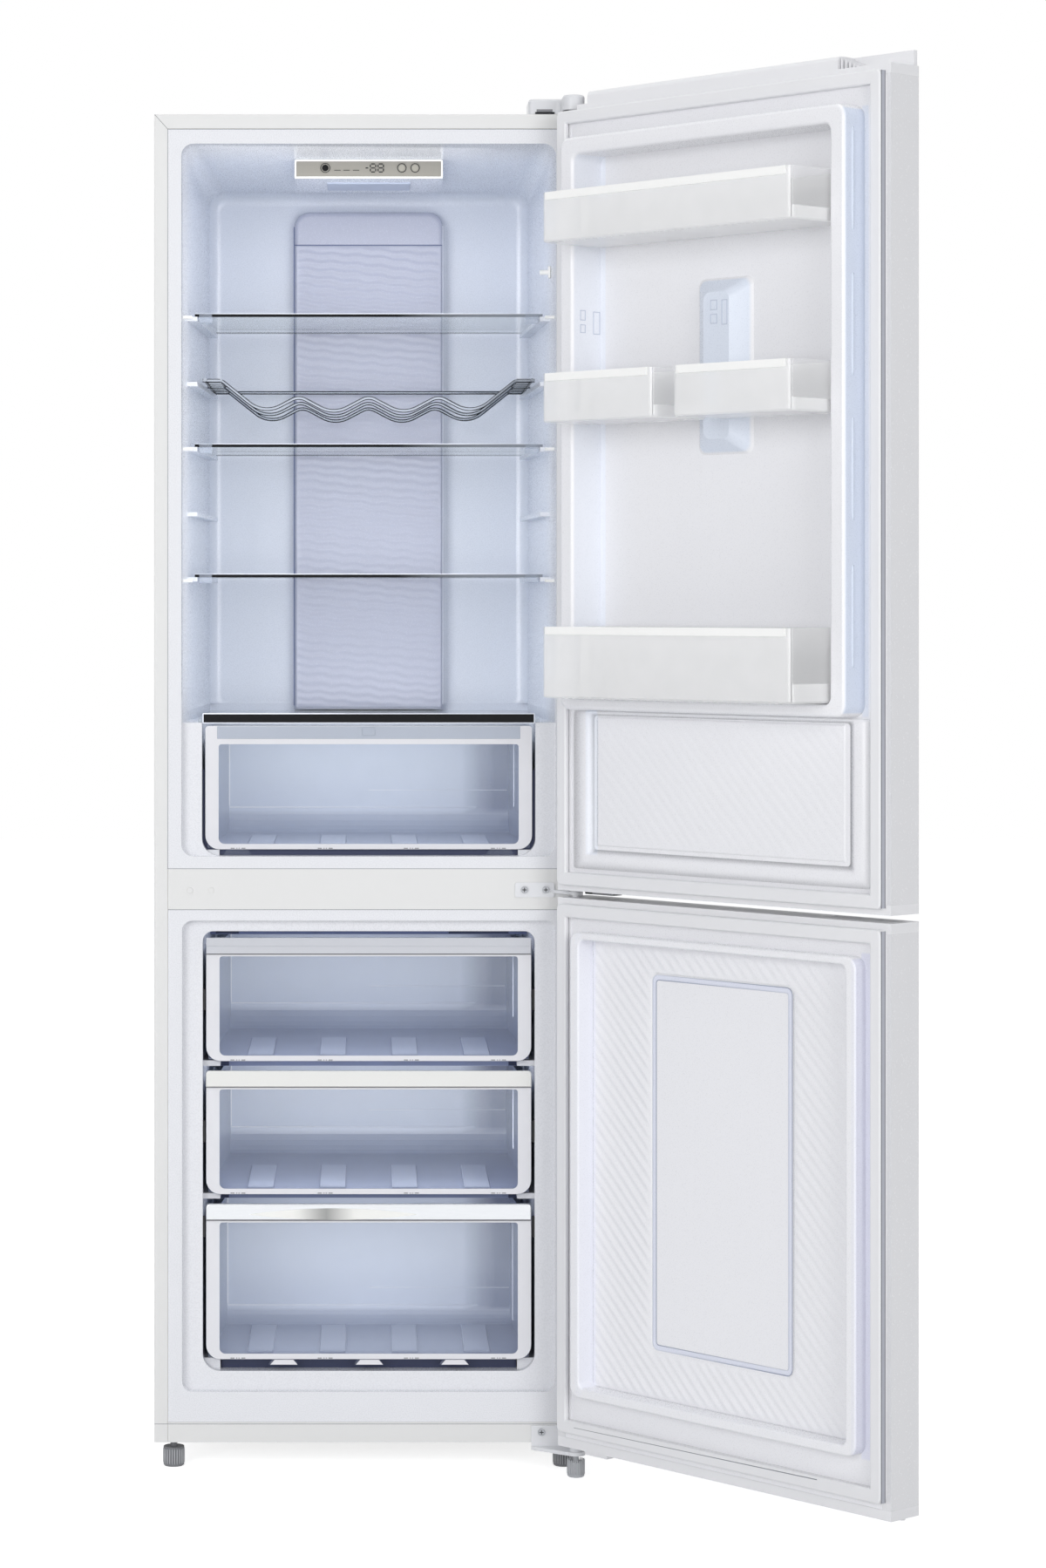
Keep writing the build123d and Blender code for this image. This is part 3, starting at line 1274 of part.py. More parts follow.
def door_foam(z, ridge, ridge_h, sink, pins):
    """Insulation that fills a door between its skin and its liner."""
    out_x, in_x, out_z, in_z = ridge
    wall = DOOR_LINER_T
    inside_z = (z[0] + CAP_H, z[1] - CAP_H)
    with BuildPart() as foam:
        block(both(HALF - SHEET), (OUTER + SHEET, INNER - wall), inside_z)
        fillet(foam.edges().filter_by(Axis.Z).group_by(Axis.Y)[0], SKIN_R - SHEET)
        ridge_ring(ridge, (INNER - wall, INNER + ridge_h - wall), wall, Mode.ADD)
        floor_z = (in_z[0] - wall, in_z[1] + wall)
        slab(
            both(in_x + wall),
            (INNER - sink - wall, INNER + ridge_h),
            floor_z,
            10 + wall,
            mode=Mode.SUBTRACT,
        )
        for pin in pins:
            upright(AXIS_X, AXIS_Y, pin, 2 * PIN_R + 1, mode=Mode.SUBTRACT)
    swing(foam)
    return foam


def door_gasket(z, low_in):
    """Soft magnetic seal: a hollow ring that closes on the cabinet's front."""
    width = CAB_W - 2 * GASKET_IN
    height = z[1] - z[0] - GASKET_IN - low_in
    middle = (z[0] + low_in + z[1] - GASKET_IN) / 2
    with BuildPart() as gasket:
        with BuildSketch(front_plane(INNER)):
            with Locations((0, middle)):
                RectangleRounded(width, height, 8)
                Rectangle(width - 2 * GASKET_W, height - 2 * GASKET_W, mode=Mode.SUBTRACT)
        extrude(amount=-(DOOR_GAP - GASKET_CLEAR))
        fillet(gasket.faces().sort_by(Axis.Y)[-1].edges(), 3)
        # the bellows' groove, run round inside the ring
        with BuildSketch(front_plane(INNER + 3)):
            with Locations((0, middle)):
                Rectangle(width - 2 * GASKET_W + 6, height - 2 * GASKET_W + 6)
                Rectangle(width - 2 * GASKET_W, height - 2 * GASKET_W, mode=Mode.SUBTRACT)
        extrude(amount=-3, mode=Mode.SUBTRACT)
    swing(gasket)
    return gasket


# ---------------------------------------------------------------- upper door
UPPER_RIDGE = (
    HALF - UPPER_RIDGE_IN,
    HALF - UPPER_RIDGE_IN - UPPER_RIDGE_W,
    (COVER_LOW + 22.0, FRIDGE_HIGH - 5.0),
    (COVER_LOW + 38.0, FRIDGE_HIGH - 29.0),
)
TOP_PIN = (CAB_TOP - 5 - PIN_IN - 2, CAB_TOP - 3)
UPPER_PIN = (UPPER_Z[0], UPPER_Z[0] + PIN_IN + 3)
upper_door_skin = door_skin(UPPER_Z, UPPER_Z[1] + DOOR_LIP)
write(upper_door_skin, "upper_door_skin")

with BuildPart() as upper_door_top_cap:
    add(door_cap((UPPER_Z[1] - CAP_H, UPPER_Z[1]), False, TOP_PIN).part)
    # lowered corner under the hinge arm
    block(
        (along(BLOCK_START), HALF),
        (OUTER + LIP_T, INNER),
        (CAB_TOP - 3, UPPER_Z[1] + 1),
        mode=Mode.SUBTRACT,
    )
    block(
        (along(BLOCK_START) - 1, HALF - 2),
        (OUTER + LIP_T, INNER),
        (CAB_TOP - 3 - CAP_T, CAB_TOP - 3),
    )
    upright(AXIS_X, AXIS_Y, (TOP_PIN[0] + 2, CAB_TOP), PIN_R + PIN_FIT, mode=Mode.SUBTRACT)
    # raised block along the front, then a thin lip over the finger recess
    block(
        (along(BLOCK_END), along(BLOCK_START)),
        (OUTER + SHEET, OUTER + BLOCK_D),
        (UPPER_Z[1] - CAP_T, UPPER_Z[1] + DOOR_LIP),
    )
    fillet(
        upper_door_top_cap.faces().sort_by(Axis.Z)[-1].edges().filter_by(Axis.X).sort_by(Axis.Y)[-1],
        8,
    )
    block(
        (-HALF + SKIN_R, along(BLOCK_END)),
        (OUTER + SHEET, OUTER + LIP_T),
        (UPPER_Z[1] - CAP_T, UPPER_Z[1] + DOOR_LIP),
    )
    rib_pitch = (GRIP_END - BLOCK_END) / 6
    for i in range(6):
        rib_x = along(BLOCK_END + (i + 0.5) * rib_pitch)
        rib_h = DOOR_LIP * (1 - (i + 1) / 7)
        block(
            (rib_x - 1.2, rib_x + 1.2),
            (OUTER + LIP_T - 0.5, OUTER + BLOCK_D - 4),
            (UPPER_Z[1] - CAP_T, UPPER_Z[1] + rib_h),
        )
    # the skin's front sheet runs up past the cap
    block(
        both(HALF - SKIN_R),
        (OUTER - 1, OUTER + SHEET),
        (UPPER_Z[1] - CAP_H - 1, UPPER_Z[1] + DOOR_LIP + 1),
        mode=Mode.SUBTRACT,
    )
swing(upper_door_top_cap)
write(upper_door_top_cap, "upper_door_top_cap")

upper_door_bottom_cap = door_cap((UPPER_Z[0], UPPER_Z[0] + CAP_H), True, UPPER_PIN)
swing(upper_door_bottom_cap)
write(upper_door_bottom_cap, "upper_door_bottom_cap")

RIB_U = 300.0
RIB_W = 98.0
RIB_FACE_W = 46.0
RIB_H = 20.0
RIB_BELOW = 46.0  # half bins' foot to the rib's foot
RIB_ABOVE = 122.0
TOP_BIN_Z = (UPPER_Z[1] - 198.0, UPPER_Z[1] - 131.0)
HALF_BIN_Z = (UPPER_Z[1] - 440.0, UPPER_Z[1] - 374.0)
LOW_BIN_Z = (COVER_LOW + 39.5, COVER_LOW + 135.0)
RIB_Z = (HALF_BIN_Z[0] - RIB_BELOW, HALF_BIN_Z[1] + RIB_ABOVE)
upper_floor = INNER - UPPER_SINK
with BuildPart() as upper_door_liner:
    add(door_liner(UPPER_Z, UPPER_RIDGE, UPPER_RIDGE_H, UPPER_SINK).part)
    # long upright rib between the two half bins
    with BuildSketch(front_plane(upper_floor)):
        with Locations((along(RIB_U), (RIB_Z[0] + RIB_Z[1]) / 2)):
            RectangleRounded(RIB_W, RIB_Z[1] - RIB_Z[0], 12)
    with BuildSketch(front_plane(upper_floor + RIB_H)):
        with Locations((along(RIB_U), (RIB_Z[0] + RIB_Z[1]) / 2)):
            RectangleRounded(RIB_FACE_W, RIB_Z[1] - RIB_Z[0] - 40, 12)
    loft(ruled=True)
swing(upper_door_liner)
write(upper_door_liner, "upper_door_liner")

upper_door_foam = door_foam(
    UPPER_Z, UPPER_RIDGE, UPPER_RIDGE_H, UPPER_SINK, [TOP_PIN, UPPER_PIN]
)
write(upper_door_foam, "upper_door_foam")
upper_door_gasket = door_gasket(UPPER_Z, GASKET_IN)
write(upper_door_gasket, "upper_door_gasket")

# ---------------------------------------------------------------- door bins
BIN_BACK = upper_floor + BIN_SEAT
BIN_FRONT = INNER + BIN_REACH
BIN_X = (-(HALF - BIN_IN), HALF - BIN_IN)
HALF_BINS = [(BIN_X[0], BIN_X[0] + HALF_BIN_W), (BIN_X[1] - HALF_BIN_W, BIN_X[1])]


def add_bin(x, z, hooks, back):
    """Add one open-topped bin, with a hook towards each side ridge it meets."""
    with BuildPart() as one_bin:
        block(x, (back, BIN_FRONT), z)
        fillet(one_bin.edges().filter_by(Axis.Z).group_by(Axis.Y)[-1], BIN_R)
        fillet(one_bin.faces().sort_by(Axis.Z)[0].edges(), 3)
        block(
            (x[0] + BIN_T, x[1] - BIN_T),
            (back + BIN_T, BIN_FRONT - BIN_T),
            (z[0] + BIN_T, z[1]),
            mode=Mode.SUBTRACT,
        )
        middle = (z[0] + z[1]) / 2
        for side in hooks:
            edge = x[1] if side > 0 else x[0]
            hook = sorted((edge - side * BIN_T, edge + side * BIN_LUG))
            block(hook, (BIN_BACK + 8, BIN_BACK + 34), (middle - 9, middle + 9))
    return one_bin.part


with BuildPart() as bins_full:
    add(add_bin(BIN_X, TOP_BIN_Z, (-1, 1), BIN_BACK))
    add(add_bin(BIN_X, LOW_BIN_Z, (-1, 1), BIN_BACK))
swing(bins_full)
write(bins_full, "bins_full")

half_bin_back = upper_floor + RIB_H + RUN_GAP
with BuildPart() as bins_half:
    add(add_bin(HALF_BINS[0], HALF_BIN_Z, (-1,), half_bin_back))
    add(add_bin(HALF_BINS[1], HALF_BIN_Z, (1,), half_bin_back))
swing(bins_half)
write(bins_half, "bins_half")

with BuildPart() as bin_strips:
    rows = [(BIN_X, TOP_BIN_Z), (BIN_X, LOW_BIN_Z)] + [(x, HALF_BIN_Z) for x in HALF_BINS]
    for x, z in rows:
        block(
            (x[0] + BIN_R, x[1] - BIN_R),
            (BIN_FRONT, BIN_FRONT + STRIP_T),
            (z[1] - STRIP_H, z[1]),
        )
swing(bin_strips)
write(bin_strips, "bin_strips")

# ---------------------------------------------------------------- lower door
LOWER_RIDGE = (
    HALF - LOWER_RIDGE_IN,
    HALF - LOWER_RIDGE_IN - LOWER_RIDGE_W,
    (FREEZER_LOW - 14.0, FREEZER_HIGH + 8.0),
    (FREEZER_LOW - 1.0, FREEZER_HIGH - 2.0),
)
LOWER_TOP_PIN = (LOWER_Z[1] - PIN_IN - 3, LOWER_Z[1])
LOWER_LOW_PIN = (LOWER_Z[0], LOWER_Z[0] + PIN_IN + 3)
GRIP_X = (-HALF + 14.0, -HALF + 135.0)
lower_door_skin = door_skin(LOWER_Z, LOWER_Z[1] - CAP_H)
write(lower_door_skin, "lower_door_skin")

with BuildPart() as lower_door_top_cap:
    add(door_cap((LOWER_Z[1] - CAP_H, LOWER_Z[1]), False, LOWER_TOP_PIN).part)
    # finger recess near the free end, a tray let into the cap's top
    block(GRIP_X, (OUTER + 5, OUTER + 34), (LOWER_Z[1] - CAP_H, LOWER_Z[1] - 1))
    block(
        (GRIP_X[0] + 2, GRIP_X[1] - 2),
        (OUTER + 7, OUTER + 32),
        (LOWER_Z[1] - CAP_H + 2, LOWER_Z[1] + 1),
        mode=Mode.SUBTRACT,
    )
swing(lower_door_top_cap)
write(lower_door_top_cap, "lower_door_top_cap")

with BuildPart() as lower_door_bottom_cap:
    add(door_cap((LOWER_Z[0], LOWER_Z[0] + CAP_H), True, LOWER_LOW_PIN).part)
    for nub_u in (533, 588):
        upright(along(nub_u), INNER - 30, (LOWER_Z[0] - 3, LOWER_Z[0] + CAP_T), 4)
    # wedge under the hinge side, which holds the door open
    block((along(92), along(50)), (INNER - 22, INNER - 2), (LOWER_Z[0] - 5, LOWER_Z[0] + 1))
swing(lower_door_bottom_cap)
write(lower_door_bottom_cap, "lower_door_bottom_cap")

PANEL_HALF = 125.5
PANEL_Z = (FREEZER_LOW + 65.0, FREEZER_HIGH - 42.0)
GROOVE_W = 8.0
lower_floor = INNER - LOWER_SINK
with BuildPart() as lower_door_liner:
    add(door_liner(LOWER_Z, LOWER_RIDGE, LOWER_RIDGE_H, LOWER_SINK).part)
    # shallow groove round the flat middle panel
    with BuildSketch(front_plane(lower_floor - 1.2)):
        with Locations((0, (PANEL_Z[0] + PANEL_Z[1]) / 2)):
            RectangleRounded(2 * PANEL_HALF, PANEL_Z[1] - PANEL_Z[0], 10)
            RectangleRounded(
                2 * (PANEL_HALF - GROOVE_W),
                PANEL_Z[1] - PANEL_Z[0] - 2 * GROOVE_W,
                4,
                mode=Mode.SUBTRACT,
            )
    extrude(amount=-1.2, mode=Mode.SUBTRACT)
swing(lower_door_liner)
write(lower_door_liner, "lower_door_liner")

lower_door_foam = door_foam(
    LOWER_Z, LOWER_RIDGE, LOWER_RIDGE_H, LOWER_SINK, [LOWER_TOP_PIN, LOWER_LOW_PIN]
)
write(lower_door_foam, "lower_door_foam")
lower_door_gasket = door_gasket(LOWER_Z, LOW_GASKET_IN)
write(lower_door_gasket, "lower_door_gasket")


# ---------------------------------------------------------------- drawers
PAD_PITCH = 101.0
PAD_W = 38.0
PAD_H = 3.0
PAD_END = 255.0  # the pads run back to this depth
TAB_H = 7.5


def drawer_box(half, y, z, rear_radius, side_radius, mode=Mode.ADD):
    """A block whose floor curves up into its rear wall and its sides."""
    with BuildPart() as body:
        with BuildSketch(Plane.YZ) as side_view:
            with Locations(((y[0] + y[1]) / 2, (z[0] + z[1]) / 2)):
                Rectangle(y[1] - y[0], z[1] - z[0])
            fillet(side_view.vertices().sort_by(Axis.X)[-2:].sort_by(Axis.Y)[0], rear_radius)
        extrude(amount=half, both=True)
        ends = body.faces().filter_by(Axis.X)
        chain = ends.edges().filter_by(lambda edge: edge.center().Y > y[0] + 1)
        chain = chain.filter_by(lambda edge: edge.center().Z < z[1] - 1)
        fillet(chain, side_radius)
    add(body.part, mode=mode)


def drawer(half, y, z, side_drop, rear_radius, tabs):
    """A moulded drawer: a framed front with a sunk window, and an open box behind."""
    with BuildPart() as tray:
        panel(both(half), (y[0], y[0] + FRONT_T), z, DRAWER_LOW_R, DRAWER_TOP_R)
        fillet(tray.faces().sort_by(Axis.Y)[0].edges(), 1.2)
        slab(
            both(half - FRAME_W),
            (y[0], y[0] + WINDOW_SINK),
            (z[0] + FRAME_W / 2, z[1] - BAND_H - 2),
            4,
            mode=Mode.SUBTRACT,
        )
        drawer_box(
            half - 1,
            (y[0] + FRONT_T - 1, y[1]),
            (z[0], z[1] + 40),
            rear_radius,
            DRAWER_SIDE_R,
        )
        drawer_box(
            half - 1 - DRAWER_T,
            (y[0] + FRONT_T, y[1] - DRAWER_T),
            (z[0] + DRAWER_T, z[1] + 60),
            rear_radius - DRAWER_T,
            DRAWER_SIDE_R - DRAWER_T,
            mode=Mode.SUBTRACT,
        )
        block(
            both(HALF),
            (y[0] + FRONT_T, y[1] + 1),
            (z[1] - side_drop, z[1] + 80),
            mode=Mode.SUBTRACT,
        )
        block(both(HALF), (y[0] - 5, y[1] + 1), (z[1], z[1] + 80), mode=Mode.SUBTRACT)
        for i in range(4):
            pad_x = (i - 1.5) * PAD_PITCH
            pad_low = z[0] + DRAWER_T
            pad_end = min(PAD_END, y[1] - rear_radius - 10)
            block(
                (pad_x - PAD_W / 2, pad_x + PAD_W / 2),
                (y[0] + 25, pad_end),
                (pad_low - 0.5, pad_low + PAD_H),
            )
        for tab_x in tabs:
            with BuildSketch(front_plane(y[0] + 3)):
                with Locations((tab_x, z[0] - TAB_H / 2 + 0.5)):
                    Trapezoid(40, TAB_H + 1, 55)
            extrude(amount=-6)
    return tray


def drawer_band(half, y, z):
    """The bright grip band over the top of a drawer's front."""
    with BuildPart() as band:
        panel(both(half), (y - BAND_T, y), z, DRAWER_LOW_R, DRAWER_TOP_R)
        block(both(half + 1), (y - 10, y + 10), (z[0] - 1, z[1] - BAND_H), mode=Mode.SUBTRACT)
        fillet(band.faces().sort_by(Axis.Y)[0].edges(), 1.8)
    return band


DRAWER_Y = STEP_D
SIDE_DROP = 24.0
for span, name in ((TOP_DRAWER_Z, "top"), (MID_DRAWER_Z, "middle")):
    freezer_drawer = drawer(
        DRAWER_HALF, (DRAWER_Y, DRAWER_Y + DRAWER_D), span, SIDE_DROP, DRAWER_REAR_R, ()
    )
    write(freezer_drawer, f"freezer_drawer_{name}")
low_freezer_drawer = drawer(
    DRAWER_HALF,
    (DRAWER_Y, DRAWER_Y + LOW_DRAWER_D),
    LOW_DRAWER_Z,
    SIDE_DROP,
    LOW_DRAWER_REAR_R,
    (-119, 0, 119),
)
write(low_freezer_drawer, "freezer_drawer_bottom")

drawer_band_middle = drawer_band(DRAWER_HALF, DRAWER_Y, MID_DRAWER_Z)
write(drawer_band_middle, "drawer_band_middle")
drawer_band_bottom = drawer_band(DRAWER_HALF, DRAWER_Y, LOW_DRAWER_Z)
write(drawer_band_bottom, "drawer_band_bottom")

CRISPER_Z = (CRISPER_LOW + CRISPER_LIFT, COVER_LOW - CRISPER_TOP_GAP)
CRISPER_Y = CRISPER_SETBACK + 7.0
TAB_IN = 45.0
crisper_drawer = drawer(
    CRISPER_HALF - CRISPER_GAP,
    (CRISPER_Y, CRISPER_Y + CRISPER_DRAWER_D),
    CRISPER_Z,
    SIDE_DROP / 2,
    DRAWER_REAR_R,
    both(CRISPER_HALF - CRISPER_GAP - TAB_IN),
)
write(crisper_drawer, "crisper_drawer")
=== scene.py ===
"""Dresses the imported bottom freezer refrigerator: finishes, moulded relief, small fittings and stage."""

import json
import math
from functools import reduce

import bmesh
import bpy
from bpy.props import FloatProperty, FloatVectorProperty, PointerProperty
from mathutils import Matrix, Vector


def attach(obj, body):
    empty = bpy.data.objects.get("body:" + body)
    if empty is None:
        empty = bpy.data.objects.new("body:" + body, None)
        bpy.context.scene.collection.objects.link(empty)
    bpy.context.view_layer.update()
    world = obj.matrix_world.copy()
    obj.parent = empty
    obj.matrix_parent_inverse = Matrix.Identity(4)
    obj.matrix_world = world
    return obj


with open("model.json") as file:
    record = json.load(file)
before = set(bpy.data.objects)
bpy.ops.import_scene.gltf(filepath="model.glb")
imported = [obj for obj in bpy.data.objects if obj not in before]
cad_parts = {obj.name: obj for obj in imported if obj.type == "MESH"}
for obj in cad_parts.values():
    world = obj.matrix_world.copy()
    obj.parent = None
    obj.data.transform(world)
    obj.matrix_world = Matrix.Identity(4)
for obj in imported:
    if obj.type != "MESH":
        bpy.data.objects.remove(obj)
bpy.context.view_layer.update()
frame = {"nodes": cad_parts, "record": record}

bl_info = {
    "name": "Bottom freezer refrigerator",
    "version": (1, 0, 0),
    "blender": (4, 5, 0),
    "location": "View3D > Sidebar > Refrigerator",
    "description": "Finishes, relief and fittings for a refrigerator with its doors open",
    "category": "Object",
}

# ---------------------------------------------------------------- levels shared with the solids, in mm
HALF = 297.5
CAB_TOP = 1882.0
CRISPER_LOW = 852.0
COVER_LOW = 1037.0
FRIDGE_HIGH = 1841.0
FRIDGE_MOUTH = 260.0  # half of the fridge compartment's width at its mouth
DRAFT = 20.0 / 480.0  # how its walls close in with depth
SHELVES = (1240.0, 1424.0, 1608.0)
SHELF_Y = (100.0, 450.0)
RACK_Z = 1516.0
DUCT_FRONT = 457.7
DUCT_SEAM = 1743.0
DRAWERS = {
    "bottom": (151.0, 367.6),
    "middle": (380.6, 552.8),
    "top": (565.8, 738.0),
}
DRAWER_HALF = 226.5
DRAWER_Y = 16.0
CRISPER_HALF = 228.0
CRISPER_Y = 22.0
CRISPER = (860.0, 1033.0)
WINDOW_HEAD = 26.0  # a drawer's top to its window's top
FLOOR_RIB = 101.0  # pitch of the ribs on a drawer's floor
INNER = -12.0
FASCIA_Y = 138.0
FASCIA_TOP = FRIDGE_HIGH - DRAFT * 140.0
BUTTON_Z = FASCIA_TOP - 12.3
BIN_FRONT = 93.5
BIN_X = 224.5
BINS = ((1688.0, 1755.0), (1446.0, 1512.0), (1076.5, 1172.0))
DOOR_RIB_FACE = INNER - 15.0 + 20.0
AXIS = Vector((285.5, -34.8, 0.0))
DOOR_TURN = (
    Matrix.Translation(AXIS) @ Matrix.Rotation(math.radians(132.0), 4, "Z") @ Matrix.Translation(-AXIS)
)
FEET = (
    ("left_foot", (-272.0, 35.0), 14.4),
    ("right_foot", (272.0, 35.0), 14.4),
    ("hinge_foot", AXIS.xy, 11.7),
)
STILL = Matrix.Identity(4)
FACE_OUT = Matrix.Rotation(math.radians(90.0), 4, "X")  # a flat sheet turned to face the viewer
FACE_IN = Matrix(((-1, 0, 0, 0), (0, 0, 1, 0), (0, 1, 0, 0), (0, 0, 0, 1)))  # turned to face the cabinet
MADE = {}

# ---------------------------------------------------------------- finishes
# name, tint, roughness, grain and its height in mm, drift of tone
GRAINED = (
    # zinc-coated rear sheet, painted grey: dull, with a light spangle
    ("coated_rear_sheet", "#A9ABAE", 0.5, 6.0, 0.05, 0.05),
    # white and grey ABS: even, faintly textured
    ("white_abs", "#FDFDFB", 0.35, 0.9, 0.03, 0.008),
    ("cream_abs", "#E9E9E6", 0.25, 0.9, 0.03, 0.008),
    ("grey_band_abs", "#CBCDD3", 0.25, 0.9, 0.03, 0.008),
    ("hinge_cover_abs", "#D8D9DC", 0.4, 0.9, 0.05, 0.02),
    # polystyrene: painted highlights along thin edges, painted shade on the lens behind the lamp, and a
    # frosted lens that looks dull
    ("pale_edge_plastic", "#E9EDF6", 0.3, 0.9, 0.02, 0.01),
    ("lens_in_shade", "#BCC5D9", 0.4, 0.9, 0.02, 0.01),
    ("frosted_lens", "#EEF1F6", 0.5, 0.5, 0.03, 0.005),
    # painted buttons and hinge plates: satin, with a fine peel
    ("taupe_button", "#9C998F", 0.35, 0.7, 0.02, 0.01),
    ("hinge_white_paint", "#E2E3E6", 0.35, 1.5, 0.03, 0.01),
    # dark joints, and painted shade: dark strips in gaps, on the soft vinyl seals' folds and sides, and round
    # embossed marks, where little light reaches
    ("seam_shadow", "#85878E", 0.6, 0.9, 0.02, 0.02),
    ("slate_seal", "#65719A", 0.5, 1.0, 0.05, 0.1),
    ("gap_haze", "#8792B4", 0.5, 1.0, 0.05, 0.1),
    ("seal_shade", "#B4B6BF", 0.5, 1.0, 0.04, 0.02),
    ("mark_shade", "#C3CADB", 0.4, 1.0, 0.02, 0.01),
    # enamel, rubber and dark mouldings: plain, from gloss to matt; the black rubber and dark moulding tints
    # also serve as painted shade in gaps
    ("black_enamel", "#1B1B1D", 0.3, 2.0, 0.06, 0.05),
    ("black_rubber", "#1D1D1F", 0.75, 0.8, 0.1, 0.1),
    ("dark_moulding", "#7F8084", 0.5, 0.8, 0.06, 0.05),
    ("grey_foot_moulding", "#B6B8BC", 0.45, 0.8, 0.06, 0.05),
    ("motor_moulding", "#8F9299", 0.5, 0.8, 0.06, 0.05),
    ("black_tray", "#2A2B2E", 0.55, 0.8, 0.06, 0.05),
    # poured polyurethane foam: dull, rough and blotchy
    ("poured_foam", "#E9DDB4", 0.9, 1.5, 0.4, 0.06),
)
# name, tint, roughness, spacing of its marks in mm, tint of a painted dark reflection at its rim
PLATED = (
    # bright chromed wire and band, zinc-plated screws, bare aluminium fins
    ("chromed_wire", "#8E949E", 0.12, 0.6, "#05060A"),
    ("chromed_band", "#CDCFD2", 0.22, 1.2, None),
    ("zinc_plate", "#97999D", 0.35, 0.6, None),
    ("aluminium_fin", "#C9CBCE", 0.35, 0.6, None),
    ("coated_pipe", "#6E6A66", 0.45, 0.6, None),
)
# painted light and shade on each door's liner, bluer on its steep flanks and rib and lighter on the upper
# door's hinge-side flank: tint, spans in x, y and z with the door shut
UPPER_PAINTED_LIGHT = (
    ("#F0F3FA", (222.0, 240.0), (-40.0, 23.0), (862.0, 1830.0)),
    ("#D9E1F0", (-259.0, -251.5), (-10.5, 24.0), (1060.0, 1834.0)),
    ("#DDE4F0", (-50.0, 45.0), (-22.5, 5.0), (1396.0, 1640.0)),
)
LOWER_PAINTED_LIGHT = (
    ("#EFF0F7", (233.0, 243.0), (-22.0, 6.0), (125.0, 752.0)),
    ("#E6E7F3", (-264.0, -250.0), (-12.5, 6.0), (118.0, 758.0)),
)
SLOT_FINISHES = {
    "shell_white": "powder_coated_steel",
    "door_white": "painted_door_steel",
    "back_steel": "coated_rear_sheet",
    "foam": "poured_foam",
    "duct_upper": "duct_cover_plastic",
    "duct_lower": "duct_cover_plastic",
    "fascia_taupe": "taupe_panel_film",
    "lens_frosted": "frosted_lens",
    "shelf_glass": "float_glass",
    "trim_white": "white_abs",
    "rack_chrome": "chromed_wire",
    "trim_black": "black_gloss_trim",
    "coil_aluminium": "aluminium_fin",
    "motor_grey": "motor_moulding",
    "compressor_black": "black_enamel",
    "pipe_steel": "coated_pipe",
    "tray_black": "black_tray",
    "rubber_black": "black_rubber",
    "hinge_grey": "hinge_white_paint",
    "hinge_white": "hinge_white_paint",
    "cap_grey": "grey_abs",
    "screw_steel": "zinc_plate",
    "gasket_white": "soft_vinyl_seal",
    "bin_clear": "clear_bin",
    "crisper_clear": "clear_drawer_crisper",
    "drawer_clear": "clear_drawer_top",
    "band_chrome": "chromed_band",
    "button_black": "black_gloss_trim",
    "button_dark": "taupe_button",
    "foot_dark": "dark_moulding",
    "foot_grey": "grey_foot_moulding",
}
NODE_FINISHES = {
    "fridge_liner": "formed_liner_fridge",
    "control_housing": "formed_liner_fridge",
    "freezer_liner": "formed_liner_freezer",
    "evaporator_cover": "formed_liner_freezer",
    "upper_door_liner": "formed_liner_door",
    "lower_door_liner": "formed_liner_low_door",
    # painted shade: the lamp's lens is given a darker, bluer tint
    "lamp_lens": "lens_in_shade",
    "shelf_brackets": "clear_bracket",
    "top_hinge_cover": "hinge_cover_abs",
    "freezer_drawer_middle": "clear_drawer_middle",
    "freezer_drawer_bottom": "clear_drawer_bottom",
    "drawer_band_middle": "cream_abs",
}


def linear(code):
    """An sRGB hex colour as linear red, green, blue and alpha."""
    channels = []
    for i in (1, 3, 5):
        value = int(code[i : i + 2], 16) / 255.0
        channels.append(value / 12.92 if value <= 0.04045 else ((value + 0.055) / 1.055) ** 2.4)
    return (*channels, 1.0)


def colour(code, name, description):
    """A colour property whose default is an sRGB hex colour."""
    return FloatVectorProperty(
        name=name, description=description, subtype="COLOR", size=4, min=0.0, max=1.0, default=linear(code)
    )


def length(value, name, description):
    """A length property, in metres, whose default is given in millimetres."""
    return FloatProperty(name=name, description=description, unit="LENGTH", min=0.0, default=value / 1000.0)


class FridgeFinishes(bpy.types.PropertyGroup):
    """Colours of the refrigerator's finishes."""

    steel: colour("#E1E1E0", "Coated steel", "Powder coat on the cabinet")
    door: colour("#E4E4E6", "Door paint", "Gloss paint on the doors' fronts and sides")
    liner_mouth: colour("#E3E4E8", "Liner at the mouth", "Formed liner near the front")
    # painted shade: the liner's bluer tint deep in the compartment
    liner_deep_shade: colour("#E2E7F2", "Liner inside", "Formed liner deep in the compartment")
    door_liner: colour("#EFEFF2", "Door liner", "Formed inner faces of the doors")
    duct: colour("#C6C9DA", "Air duct cover", "Embossed cover on the rear wall")
    clear: colour("#DCE5F1", "Clear mouldings", "Drawers")
    glass: colour("#DCE6E6", "Shelf glass", "Tempered shelves")
    trim: colour("#0C0D10", "Dark trim", "Trim over the crisper")
    gap: colour("#2C3557", "Painted gap shade", "Painted shade in the gaps round the drawers")
    # painted shade for the gaps round the drawers
    taupe: colour("#8F8C84", "Control panel", "Printed control panel")
    cap: colour("#ECECEE", "Door caps", "Moulded caps at the doors' ends")
    gasket: colour("#EAEAEC", "Door seals", "Soft vinyl seals")


